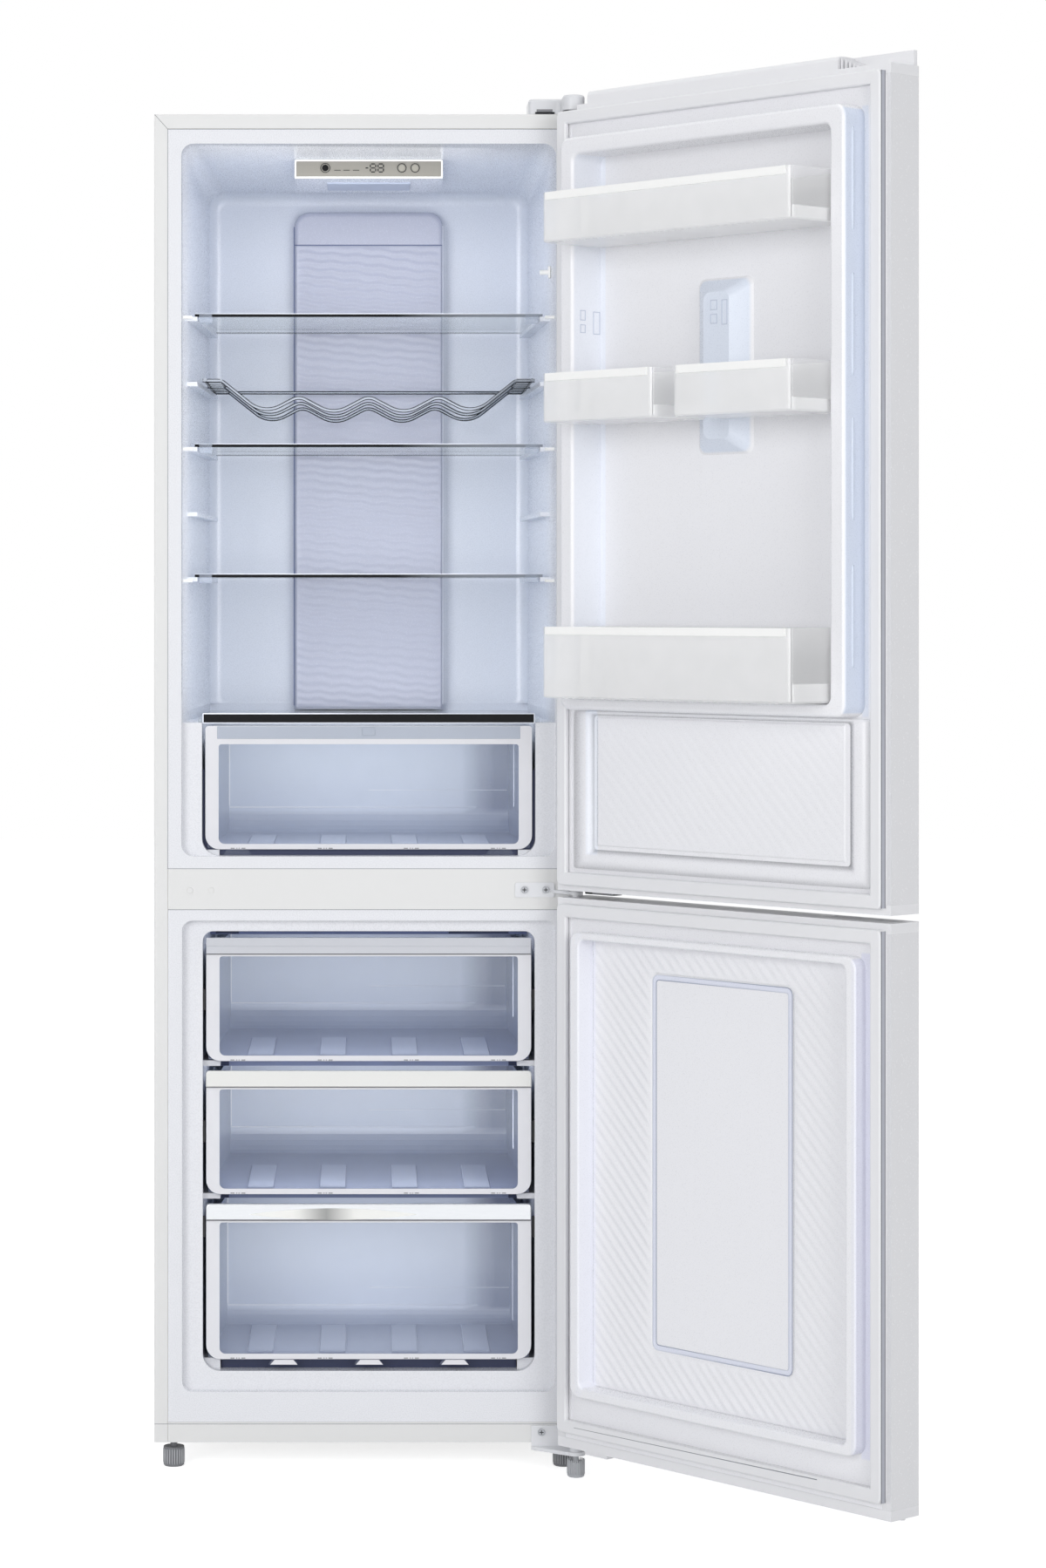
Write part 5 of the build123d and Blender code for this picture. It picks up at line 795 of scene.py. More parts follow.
class FRIDGE_OT_door_ripples(bpy.types.Operator):
    """Cover the lower door's sunk floor and the upper door's low panel with slanted ripples"""

    bl_idname = "fridge.door_ripples"
    bl_label = "Door ripples"

    def execute(self, context):
        sizes = context.scene.fridge_sizes
        values = {
            "Size": (2 * 238.0, 611.0, 0.0),
            "Opening": (2 * 126.5, 507.0, 0.0),
            "Opening place": (0.0, 13.0, 0.0),
            "Corner": 12.0,
            "Pitch": sizes.door_ripple * 1000.0,
            "Run": 60.0,
            "Slant": math.radians(45.0),
            "Height": sizes.door_depth * 1000.0,
            "Wander": 1.6,
            "Sway": 0.0,
            "Sway run": 50.0,
            "Rim": 9.0,
            "Mesh size": 2.8,
            "Thickness": 0.9,
        }
        floor = INNER - 8.0
        place = DOOR_TURN @ Matrix.Translation((0.0, floor + 0.1, 439.5)) @ FACE_IN
        ripple("lower_door_ripples", values, "formed_liner_low_door", "lower_door", place)
        self.groove(floor)
        values |= {
            "Size": (2 * 222.0, 176.0, 0.0),
            "Opening": (-2.0, -2.0, 0.0),
            "Opening place": (0.0, 0.0, 0.0),
            "Corner": 0.1,
            "Height": sizes.pad_depth * 1000.0,
            "Run": 45.0,
            "Wander": 3.5,
            "Rim": 10.0,
        }
        place = DOOR_TURN @ Matrix.Translation((0.0, INNER + 0.1, 961.0)) @ FACE_IN
        ripple("upper_door_low_panel", values, "formed_liner_door", "upper_door", place)
        outer = rounded((-264.0, 264.0), (841.0, 1056.5), 4.0, 4.0, 8)
        crest = rounded((-240.0, 243.0), (857.0, 1055.0), 6.0, 6.0, 8)
        foot = rounded((-229.0, 225.0), (869.0, 1050.0), 5.0, 5.0, 8)
        sheet = bmesh.new()
        ring(sheet, ((outer, INNER - 0.5), (outer, INNER + 2.4), (crest, INNER + 2.6), (foot, INNER - 0.3)))
        rides = ("upper_door", "liner_white", DOOR_TURN)
        piece_from("low_panel_frame", sheet, "formed_liner_door", *rides, smooth=True)
        return {"FINISHED"}

    def groove(self, floor):
        """Line the groove round the lower door's middle panel with a bluer floor and shaded edges, both
        painted shade.
        """
        outer = rounded((-125.4, 125.4), (200.1, 704.9), 9.9, 9.9, 8)
        inner = rounded((-117.6, 117.6), (207.9, 697.1), 4.0, 4.0, 8)
        sheet = bmesh.new()
        hoop(sheet, outer, inner, (floor - 1.25, floor - 1.05))
        piece_from("groove_floor", sheet, "groove_floor_shade", "lower_door", "liner_white", DOOR_TURN)
        front = (floor - 1.0, floor + 0.25)
        sheet = bmesh.new()
        hoop(sheet, outer, rounded((-124.4, 124.4), (201.1, 703.9), 8.9, 8.9, 8), front)
        hoop(sheet, rounded((-118.6, 118.6), (206.9, 698.1), 5.0, 5.0, 8), inner, front)

        def tone(x, y, z):
            """Painted shade: darkest outside on the free side and inside on the hinge side, where the edge
            faces away.
            """
            if abs(x) > 121.0 or z < 203.0 or z > 702.0:
                return 0.05 if x < -112.0 else 0.75
            return 0.1 if x > 112.0 else 0.7

        piece_from("groove_edges", sheet, "groove_shadow", "lower_door", "liner_white", DOOR_TURN, tone=tone)


class FRIDGE_OT_door_marks(bpy.types.Operator):
    """Add the embossed marks on the upper door's rib and ridges, outlined in painted shade, and painted shade
    on the seals' folds and sides
    """

    bl_idname = "fridge.door_marks"
    bl_label = "Embossed marks"

    def execute(self, context):
        line, soft = 1.0, 0.2
        face = (DOOR_RIB_FACE - 0.4, DOOR_RIB_FACE + 0.5)
        wall = (HALF - 68.5, HALF - 67.6)
        # painted shade: thin dark outlines round the embossed marks
        marks = []
        for u, span in (((290, 302), (1590, 1603.5)), ((290, 302), (1572, 1585)), ((310, 320), (1570, 1603))):
            marks += [(x, face, z, soft) for x, z in border((HALF - u[1], HALF - u[0]), span, line)]
        for depth, span in (((3, 13), (1588, 1602)), ((3, 13), (1571, 1582.5)), ((-25, -12), (1570, 1601))):
            marks += [(wall, y, z, soft) for y, z in border(depth, span, line)]
        blocks("embossed_marks", marks, "mark_shade", "upper_door", "liner_white", DOOR_TURN)
        points = [(HALF - 552.0, 11.0, z) for z in (1742.0, 1557.0, 1373.7, 1187.0)]
        mesh = studs(points, (1.6, 4.5, 130.0), 0.85, "formed_liner_door")
        finish_piece("ridge_side_bars", mesh, "upper_door", DOOR_TURN)
        side = HALF - 587.0
        # painted shade on each seal's folds and on its side, which faces from the light
        for body, z in (("upper_door", (818.5, 1876.5)), ("lower_door", (68.0, 789.5))):
            folds = [((side - 0.35, side + 0.2), y, z, 0.15) for y in ((-3.4, -1.9), (-10.4, -8.8))]
            blocks(f"{body}_seal_fold_shade", folds, "seam_shadow", body, "gasket_white", DOOR_TURN)
            flank = [((side - 0.3, side + 0.2), (-8.7, -3.5), z, 0.15)]
            blocks(f"{body}_seal_side_shade", flank, "seal_shade", body, "gasket_white", DOOR_TURN)
        sheet = bmesh.new()
        plate(sheet, [(-184.0, 80.2), (255.0, 76.4), (255.0, 77.0), (-184.0, 81.4)], (-0.45, -0.15))
        piece_from("low_seal_line", sheet, "seam_shadow", "lower_door", "gasket_white", DOOR_TURN)
        return {"FINISHED"}


# ---------------------------------------------------------------- control panel
class FRIDGE_OT_control_panel(bpy.types.Operator):
    """Add the control panel's light frame, button rings and figures"""

    bl_idname = "fridge.control_panel"
    bl_label = "Control panel"

    def execute(self, context):
        low, high = FASCIA_TOP - 27.0, FASCIA_TOP - 0.3
        outer = rounded((-105.5, 105.5), (low, high), 2.5, 2.5)
        inner = rounded((-103.2, 103.2), (low + 2.4, high - 2.4), 1.0, 1.0)
        sheet = bmesh.new()
        hoop(sheet, outer, inner, (FASCIA_Y - 0.5, FASCIA_Y + 0.3))
        piece_from("panel_light_frame", sheet, "white_abs", "cabinet", "trim_white")
        sheet = bmesh.new()
        for x, radius in ((-61.8, 7.0), (47.2, 6.6), (66.0, 6.6)):
            rims = [rounded(around(x, r), around(BUTTON_Z, r), r, r, 8) for r in (radius, radius - 1.0)]
            hoop(sheet, *rims, (FASCIA_Y - 1.1, FASCIA_Y - 0.7))
        piece_from("button_rings", sheet, "printed_ink_and_painted_shade", "cabinet", "trim_black")
        front = (FASCIA_Y - 0.8, FASCIA_Y - 0.45)
        lamps = [((x, x + 9.0), front, (BUTTON_Z - 3.6, BUTTON_Z - 2.8), 0.1) for x in (-49.0, -36.0, -22.5)]
        blocks("panel_lamps", lamps, "printed_ink_and_painted_shade", "cabinet", "trim_black")
        half_tall, wide, half_line = 5.7, 7.6, 0.8
        strokes = []
        for left in (2.4, 13.4):
            for z in (BUTTON_Z - half_tall, BUTTON_Z, BUTTON_Z + half_tall):
                strokes.append(((left + 1.0, left + wide - 1.0), front, around(z, half_line), 0.1))
            for z in (BUTTON_Z - half_tall, BUTTON_Z):
                for side in (left, left + wide):
                    strokes.append((around(side, half_line), front, (z + 0.9, z + half_tall - 0.9), 0.1))
        strokes.append(((-4.4, -0.6), front, around(BUTTON_Z, half_line), 0.1))
        blocks("panel_figures", strokes, "printed_ink_and_painted_shade", "cabinet", "trim_black")
        return {"FINISHED"}


# ---------------------------------------------------------------- shelves and rack
class FRIDGE_OT_shelf_edges(bpy.types.Operator):
    """Add the dark front edge, the thin rear edge and the end tabs of each glass shelf"""

    bl_idname = "fridge.shelf_edges"
    bl_label = "Shelf edges"

    def execute(self, context):
        tall = context.scene.fridge_sizes.edge_strip * 1000.0
        half = FRIDGE_MOUTH - DRAFT * SHELF_Y[0] - 10.0
        rear = FRIDGE_MOUTH - DRAFT * SHELF_Y[1] - 12.0
        wall = FRIDGE_MOUTH - DRAFT * 30.0
        y, back = SHELF_Y
        dark, bright, pale = [], [], []
        for level in SHELVES:
            dark.append(((-half, half), (y - 0.9, y + 0.8), (level - 0.2, level + tall), 0.4))
            dark.append(((-rear, rear), (back - 1.5, back + 0.5), (level + 1.0, level + 2.6), 0.4))
            # painted highlight: a pale strip along the top of each shelf's dark front edge
            bright.append(((-half, half), (y - 0.8, y + 0.6), (level + tall, level + tall + 0.8), 0.2))
            for side in (-1, 1):
                x = sorted((side * (wall - 12.5), side * (wall + 1.0)))
                pale.append((x, (31.0, 48.0), (level - 7.4, level - 3.2), 0.8))
        blocks("shelf_glass_edges", dark, "polished_glass_edge", "cabinet", "trim_black")
        blocks("shelf_top_highlight", bright, "pale_edge_plastic", "cabinet", "trim_white")
        blocks("shelf_end_tabs", pale, "white_abs", "cabinet", "trim_white")
        # painted highlight: a pale outline round the trim over the crisper
        outer = rounded((-231.4, 231.4), (COVER_LOW - 1.2, COVER_LOW + 13.2), 1.0, 1.0, 2)
        inner = rounded((-230.0, 230.0), (COVER_LOW + 0.2, COVER_LOW + 11.8), 0.4, 0.4, 2)
        sheet = bmesh.new()
        hoop(sheet, outer, inner, (20.4, 21.4))
        piece_from("cover_trim_outline", sheet, "pale_edge_plastic", "cabinet", "trim_white")
        return {"FINISHED"}


class FRIDGE_OT_rack_ends(bpy.types.Operator):
    """Add the close cross wires at both ends of the bottle rack"""

    bl_idname = "fridge.rack_ends"
    bl_label = "Rack ends"

    def execute(self, context):
        radius = context.scene.fridge_sizes.wire * 1000.0
        top = RACK_Z + radius + 0.1
        outer, inner = 231.0, 209.0
        points = []
        for side in (-1, 1):
            for i in range(6):
                points += [(side * x, 128.0 + i * 48.0, top) for x in (outer, inner)]
            points += [(side * inner, y, top) for y in (SHELF_Y[0] + 6.0, SHELF_Y[1] - 12.0)]
        edges = [(i, i + 1) for i in range(0, len(points), 2)]
        values = {"Radius": radius * 0.8, "Material": MADE["chromed_wire"]}
        mesh = grow("wires", wire_tree, values, (points, edges))
        finish_piece("rack_end_wires", mesh, "cabinet")
        return {"FINISHED"}


# ---------------------------------------------------------------- drawers
def drawer_frame(name, half, z, y, body, slot):
    """Add the milky frame round a drawer's window."""
    outer = rounded(around(0.0, half - 0.6), (z[0] + 0.6, z[1] - 0.6), 19.4, 4.4)
    inner = rounded(around(0.0, half - 19.0), (z[0] + 8.0, z[1] - WINDOW_HEAD), 8.0, 4.0)
    sheet = bmesh.new()
    hoop(sheet, outer, inner, (y - 0.7, y + 0.6))
    piece_from(name, sheet, "milky_drawer_frame", body, slot)


def drawer_inside(name, half, z, y, rear_radius, body, slot):
    """Line a drawer with a thin sheet that carries the shading seen through its window."""
    low, high = z[0] + 2.8, z[1] - WINDOW_HEAD
    front, rear = y[0] + 5.6, y[1] - 3.2
    bend = rear_radius + 6.0
    path = [(front, low), (y[0] + 60.0, low), (rear - bend - 1.0, low)]
    for i in range(7):
        angle = math.radians(15.0 * i)
        path.append((rear - bend + bend * math.sin(angle), low + bend - bend * math.cos(angle)))
    path += [(rear, low + bend + 2.0), (rear, (low + bend + high) / 2), (rear, high)]

    def side(depth):
        """Half of the drawer's width inside, at a depth."""
        return half - 3.8 - 16.0 * (depth - front) / (rear - front)

    sheet = bmesh.new()
    columns = (-1.0, -0.96, -0.4, 0.2, 0.66, 0.8, 0.9, 1.0)
    rows = [[sheet.verts.new((c * side(py), py, pz)) for c in columns] for py, pz in path]
    for a, b in zip(rows, rows[1:]):
        for i in range(len(columns) - 1):
            sheet.faces.new((a[i], a[i + 1], b[i + 1], b[i]))
    for end in (0, -1):
        bottom = [row[end] for row in rows]
        top = [sheet.verts.new((v.co.x, v.co.y, high)) for v in bottom[:-1]] + [bottom[-1]]
        for i in range(len(bottom) - 1):
            loop = (bottom[i], bottom[i + 1], top[i + 1], top[i])
            sheet.faces.new(list(dict.fromkeys(loop)))
    bmesh.ops.recalc_face_normals(sheet, faces=sheet.faces)
    bmesh.ops.solidify(sheet, geom=sheet.faces[:], thickness=0.5)
    for i in range(4):
        x = around((i - 1.5) * FLOOR_RIB, 17.5)
        block(sheet, x, (y[0] + 27.0, min(250.0, rear - bend - 12.0)), (low, low + 4.0), 0.8)

    def tone(px, py, pz):
        """Painted shade: lightest on the rear wall, darker in the bend, on the floor and towards the right.
        """
        if abs(px) > side(py) - 1.5 and py < rear - 4.0:
            return 0.42 if px < 0 else 0.16
        right = min(max((px - 0.64 * half) / (0.14 * half), 0.0), 1.0)
        if pz > low + bend - 3.0:
            return 0.95 - 0.9 * right
        if pz > low + 3.0 and py < rear - bend - 5.0:
            return 0.55
        rise = min(max((pz - low) / bend, 0.0), 1.0)
        floor = 0.42 if name in ("crisper", "bottom") else 0.30
        return (floor + 0.16 * rise) * (1.0 - 0.35 * right)

    piece_from(f"inside_{name}", sheet, "drawer_inside", body, slot, tone=tone)
    edge, wall, foot = side(rear), side(y[0] + 82.0), low + bend
    # painted highlights: thin strips along the drawer's inner corners and bend
    ribs = [
        ((-edge - 0.2, -edge + 2.2), (rear - 1.8, rear - 0.6), (foot + 4.0, high), 0.3),
        ((-wall + 0.6, -wall + 2.4), (y[0] + 81.0, y[0] + 83.0), (foot + 28.0, high), 0.3),
        ((-edge + 1.0, 0.7 * half), (rear - 1.6, rear - 0.6), (foot + 1.0, foot + 3.0), 0.3),
        ((0.0, 0.9 * half), (rear - 1.4, rear - 0.6), (foot + 27.0, foot + 28.0), 0.3),
    ]
    for reach in (0.965, 0.915):
        x = around(side(y[0] + 40.0) * reach, 0.5)
        ribs.append((x, (y[0] + 40.0, y[0] + 41.2), (foot + 20.0, high), 0.2))

    def glint(px, py, pz):
        """Painted highlight: bright on the left, faint on the right."""
        return 1.0 if px < 0.45 * half and py > rear - 3.0 or px < 0 else 0.35

    blocks(f"inside_glints_{name}", ribs, "painted_rib_highlight", body, slot, tone=glint)


def clip_slots(name, y, low, body, slot):
    """Add the short dark slots along the lower edge of a drawer's frame."""
    slots = []
    for middle in (-182.0, -60.6, 59.4, 180.7):
        for off in (-9.0, -6.2, -1.6, 1.6, 6.2, 9.0):
            wide = 1.3 if abs(off) > 2.0 else 0.7
            slots.append((around(middle + off, wide), (y - 1.0, y - 0.4), (low + 1.3, low + 2.6), 0.15))
    blocks(f"clip_slots_{name}", slots, "dark_moulding", body, slot)


class FRIDGE_OT_drawer_fronts(bpy.types.Operator):
    """Add the drawers' window frames, inner faces with painted shade and highlights, grip bands, and painted
    shadows where the side rails end
    """

    bl_idname = "fridge.drawer_fronts"
    bl_label = "Drawer fronts"

    def execute(self, context):
        for name, z in DRAWERS.items():
            rides = (f"drawer_{name}", "drawer_clear")
            depth, bend = (260.0, 18.0) if name == "bottom" else (400.0, 29.0)
            drawer_frame(f"drawer_frame_{name}", DRAWER_HALF, z, DRAWER_Y, *rides)
            drawer_inside(name, DRAWER_HALF, z, (DRAWER_Y, DRAWER_Y + depth), bend, *rides)
            clip_slots(name, DRAWER_Y, z[0], *rides)
        rides = ("crisper", "crisper_clear")
        drawer_frame("crisper_frame", CRISPER_HALF, CRISPER, CRISPER_Y, *rides)
        drawer_inside("crisper", CRISPER_HALF, CRISPER, (CRISPER_Y, 387.0), 29.0, *rides)
        clip_slots("crisper", CRISPER_Y, CRISPER[0], *rides)
        high = CRISPER[1]
        band = (
            ((-211.0, 211.0), (CRISPER_Y - 1.6, CRISPER_Y - 0.4), (high - 18.6, high - 1.2), 0.6),
            ((-9.0, 9.0), (CRISPER_Y - 2.6, CRISPER_Y - 1.4), (high - 14.0, high - 3.0), 0.8),
        )
        blocks("crisper_grip_band", band, "milky_grip_band", *rides)
        high = DRAWERS["top"][1]
        band = (
            ((-226.0, 226.0), (DRAWER_Y - 2.4, DRAWER_Y + 0.4), (high - 22.5, high), 1.1),
            ((-225.5, 225.5), (DRAWER_Y - 3.4, DRAWER_Y - 2.2), (high - 22.0, high - 12.0), 0.5),
        )
        blocks("top_drawer_band", band, "grey_band_abs", "drawer_top", "drawer_clear")
        for name, (_, high) in DRAWERS.items():
            line = [((-225.8, 225.8), (DRAWER_Y - 2.4, DRAWER_Y - 0.4), (high - 23.6, high - 22.6), 0.2)]
            blocks(f"band_line_{name}", line, "dark_moulding", f"drawer_{name}", "drawer_clear")
        self.scoop(DRAWERS["bottom"][1] - 13.7)
        low = DRAWERS["bottom"][0]
        sheet = bmesh.new()
        for middle in (-118.0, 1.0, 120.0):
            corners = ((-19.0, -7.2), (19.0, -7.2), (13.0, -0.4), (-13.0, -0.4))
            plate(sheet, [(middle + x, low + z) for x, z in corners], (15.4, 15.95))
        piece_from("stop_tab_faces", sheet, "milky_drawer_frame", "drawer_bottom", "drawer_clear")
        # painted shadows: black blocks where the freezer's side rails end beside each drawer
        rail_shadows = []
        for z in ((637, 666), (453, 483), (321, 350)):
            rail_shadows += [(x, (17.0, 24.0), z, 0.6) for x in ((-230.8, -227.4), (227.4, 230.8))]
        blocks("rail_end_shadows", rail_shadows, "black_rubber", "cabinet", "rubber_black")
        return {"FINISHED"}

    def scoop(self, level):
        """Add the lens-shaped hollow in the bottom drawer's grip band, with a painted reflection."""
        left, wide, steps = -165.0, 232.0, 24
        sheet = bmesh.new()
        rows = []
        for i in range(steps + 1):
            x = left + wide * i / steps
            swell = math.sin(math.pi * i / steps) ** 0.8
            foot, head = level - 1.0 - 7.5 * swell, level - 0.6 + 8.3 * swell
            corners = ((13.1, foot), (13.1, head), (13.8, head), (13.8, foot))
            rows.append([sheet.verts.new((x, y, z)) for y, z in corners])
        for a, b in zip(rows, rows[1:]):
            for i in range(4):
                sheet.faces.new((a[i], a[i - 1], b[i - 1], b[i]))
        for end in (rows[0], rows[-1]):
            sheet.faces.new(end)

        def tone(x, y, z):
            """Painted reflection: a dark sweep on the left that turns bright under the middle of the grip."""
            return min(0.3 + abs(x + 60.0) / 60.0, 1.0)

        piece_from("grip_scoop", sheet, "grip_scoop_painted_reflection", "drawer_bottom", "band_chrome", tone=tone)


class FRIDGE_OT_gap_shadows(bpy.types.Operator):
    """Add dark strips of painted shade in the gaps round the crisper and the freezer drawers"""

    bl_idname = "fridge.gap_seals"
    bl_label = "Gap shadows"

    def execute(self, context):
        # painted shade: dark strips in the gaps round the crisper and under the bottom drawer, where little
        # light reaches
        rides = ("cabinet", "rubber_black")
        outer = rounded((-231.9, 231.9), (CRISPER_LOW + 0.1, 972.0), 24.0, 1.0)
        inner = rounded((-228.6, 228.6), (CRISPER_LOW + 7.4, 970.0), 20.0, 0.5)
        sheet = bmesh.new()
        hoop(sheet, outer, inner, (30.0, 36.0), open_top=True)
        block(sheet, (-206.0, 206.0), (40.0, 46.0), (135.1, 150.4), 0.5)
        piece_from("gap_shadows", sheet, "deep_gap_shade", *rides)
        # painted shade: a dark strip in the gap above the top freezer drawer
        blocks("roof_gap_shade", [((-222.0, 222.0), (52.0, 58.0), (739.5, 746.9), 0.5)], "slate_seal", *rides)
        # painted shade: blue-grey bars in the gaps between the freezer drawers
        bars = [((-213.0, 213.0), (60.0, 66.0), z, 0.5) for z in ((554.2, 564.4), (369.0, 379.2))]
        blocks("gap_shade_bars", bars, "gap_haze", *rides)
        ends = [(x, (50.5, 51.8), (740.5, 746.6), 0.3) for x in ((-214.0, -182.0), (112.0, 196.0))]
        for z in ((554.6, 564.0), (369.4, 378.8)):
            ends += [(x, (58.4, 59.8), z, 0.3) for x in ((-213.0, -196.0), (196.0, 213.0))]
        blocks("gap_shadow_ends", ends, "deep_gap_shade", *rides)
        return {"FINISHED"}


# ---------------------------------------------------------------- door bins
class FRIDGE_OT_bin_details(bpy.types.Operator):
    """Add the bins' end clips and the studs along their lower edges"""

    bl_idname = "fridge.bin_details"
    bl_label = "Bin details"

    def execute(self, context):
        clips = []
        for low, high in BINS:
            for x in ((-BIN_X - 0.9, -BIN_X + 0.3), (BIN_X - 0.3, BIN_X + 0.9)):
                clips.append((x, (1.0, 17.0), (low + 2.0, high - 0.5), 0.3))
        blocks("bin_end_clips", clips, "white_abs", "upper_door", "bin_clear", DOOR_TURN)
        pitch = 12.5
        points = []
        for low in (BINS[0][0], BINS[2][0]):
            points += [(-200.0 + i * pitch, BIN_FRONT - 6.0, low + 0.4) for i in range(33)]
        mesh = studs(points, (5.0, 4.0, 2.0), 0.6, "clear_bin")
        finish_piece("bin_base_studs", mesh, "upper_door", DOOR_TURN)
        return {"FINISHED"}


# ---------------------------------------------------------------- seams, stops and screw slots
def screw_heads(keep, axes):
    """Middles of the groups of the screws' vertices that keep picks, along two axes."""
    groups = []
    for vertex in frame["nodes"]["screws"].data.vertices:
        co = vertex.co * 1000.0
        if not keep(co):
            continue
        spot = Vector([co[a] for a in axes])
        near = [group for group in groups if (group[0] - spot).length < 12.0]
        if near:
            near[0].append(spot)
        else:
            groups.append([spot])
    return [[(min(values) + max(values)) / 2 for values in zip(*group)] for group in groups]


class FRIDGE_OT_small_fittings(bpy.types.Operator):
    """Add the front's seams, the door stop plate and the screws' cross slots"""

    bl_idname = "fridge.small_fittings"
    bl_label = "Small fittings"

    def execute(self, context):
        outer, inner = Vector((297.0, 1881.5)), Vector((278.7, 1861.0))
        slope = (inner - outer).normalized()
        across = Vector((-slope.y, slope.x)) * 0.3
        sheet = bmesh.new()
        for side in (-1, 1):
            corners = (outer + across, inner + across, inner - across, outer - across)
            plate(sheet, [(side * x, z) for x, z in corners], (-0.08, 0.2))
        piece_from("mitre_seams", sheet, "dark_moulding", "cabinet", "shell_white")
        face = (-0.12, 0.2)
        outer = rounded((-279.1, 279.1), (834.6, 1861.4), 0.6, 0.6, 1)
        inner = rounded((-278.4, 278.4), (835.3, 1860.7), 0.3, 0.3, 1)
        sheet = bmesh.new()
        hoop(sheet, outer, inner, face)
        block(sheet, (-278.4, 278.4), face, (777.8, 778.5), 0.05)
        block(sheet, (-297.0, 297.0), face, (64.2, 64.9), 0.05)
        piece_from("front_seams", sheet, "seam_shadow", "cabinet", "shell_white")
        # painted shade: dark blocks in the gap under the front of the top hinge cover
        shade = [((231.0, 258.0), (0.1, 1.3), (CAB_TOP + 0.3, CAB_TOP + 3.0), 0.3)]
        blocks("hinge_cover_shade", shade, "printed_ink_and_painted_shade", "cabinet", "hinge_grey")
        mouth = [((233.0, 255.0), (0.2, 1.3), (CAB_TOP + 3.1, CAB_TOP + 6.8), 0.5)]
        blocks("hinge_cover_mouth_shade", mouth, "dark_moulding", "cabinet", "hinge_grey")
        stop = ((-38.0, -20.0), (805.4, 809.2), 0.8)
        steel = [((HALF - 98.0, HALF - 58.0), *stop)]
        blocks("door_stop_plate", steel, "dark_moulding", "upper_door", "hinge_grey", DOOR_TURN)
        pad = [((HALF - 57.4, HALF - 44.0), *stop)]
        blocks("door_stop_pad", pad, "black_rubber", "upper_door", "rubber_black", DOOR_TURN)
        # the screws in the middle and bottom hinge plates, then those in the top plate
        heads = screw_heads(lambda co: co.y < -4.5 and co.z < 1500.0, (0, 2))
        self.slots("front_screw_slots", [(x, -5.25, z) for x, z in heads], ((6.0, 0.9, 1.1), (1.1, 0.9, 6.0)))
        heads = screw_heads(lambda co: co.z > CAB_TOP + 5.0, (0, 1))
        points = [(x, y, CAB_TOP + 5.25) for x, y in heads]
        self.slots("top_screw_slots", points, ((6.0, 1.1, 0.9), (1.1, 6.0, 0.9)))
        return {"FINISHED"}

    def slots(self, name, points, sizes):
        """Put two crossed slots on each screw head, dark as painted shade in their recesses."""
        both = bmesh.new()
        for size in sizes:
            both.from_mesh(studs(points, size, 0.8, "printed_ink_and_painted_shade"))
        mesh = bpy.data.meshes.new(name)
        both.to_mesh(mesh)
        both.free()
        mesh.materials.append(MADE["printed_ink_and_painted_shade"])
        finish_piece(name, mesh, "cabinet")


class FRIDGE_OT_foot_flutes(bpy.types.Operator):
    """Add the grip flutes round the three feet"""

    bl_idname = "fridge.foot_flutes"
    bl_label = "Foot flutes"

    def execute(self, context):
        flutes, width, tall, middle = 26, 1.5, 21.0, 14.0
        for body, (x, y), radius in FEET:
            turns = [math.tau * i / flutes for i in range(flutes)]
            points = [(x + radius * math.cos(turn), y + radius * math.sin(turn), middle) for turn in turns]
            mesh = studs(points, (width, width, tall), 0.4, "grey_foot_moulding")
            finish_piece(f"{body}_flutes", mesh, body)
        return {"FINISHED"}


# ---------------------------------------------------------------- stage
# name, where it stands, what it faces, its width and height in metres, its power in watts
LAMPS = (
    ("left_panel", (-2.3, -4.8, 1.9), (0.0, 0.1, 1.0), (2.4, 2.4), 94.0),
    ("right_panel", (2.3, -4.8, 1.9), (0.0, 0.1, 1.0), (2.4, 2.4), 72.0),
    ("rear_panel", (-2.0, 3.4, 3.2), (0.0, 0.3, 1.0), (2.6, 2.6), 30.0),
    ("top_panel", (0.2, -0.6, 4.6), (0.2, 0.1, 1.0), (2.0, 2.0), 30.0),
    ("fridge_glow", (-0.04, 0.02, 1.44), (-0.1, 1.0, 1.44), (0.4, 0.78), 0.9),
    ("crisper_glow", (0.0, 0.04, 0.945), (0.0, 1.0, 0.945), (0.4, 0.12), 0.29),
    ("top_glow", (0.0, 0.034, 0.645), (0.0, 1.0, 0.645), (0.4, 0.11), 0.32),
    ("middle_glow", (0.0, 0.034, 0.46), (0.0, 1.0, 0.46), (0.4, 0.11), 0.51),
    ("bottom_glow", (0.0, 0.034, 0.255), (0.0, 1.0, 0.255), (0.4, 0.15), 0.25),
)


def seen_or_lit(tree, lit, seen):
    """One shader for the light it gives, another for what the eye, gloss and glass see of it."""
    path = add(tree, "ShaderNodeLightPath").outputs
    rays = [path[name] for name in ("Is Camera Ray", "Is Glossy Ray", "Is Transmission Ray")]
    fills = {0: combined(tree, "MAXIMUM", rays), 1: lit.outputs[0], 2: seen.outputs[0]}
    return add(tree, "ShaderNodeMixShader", fills).outputs[0]


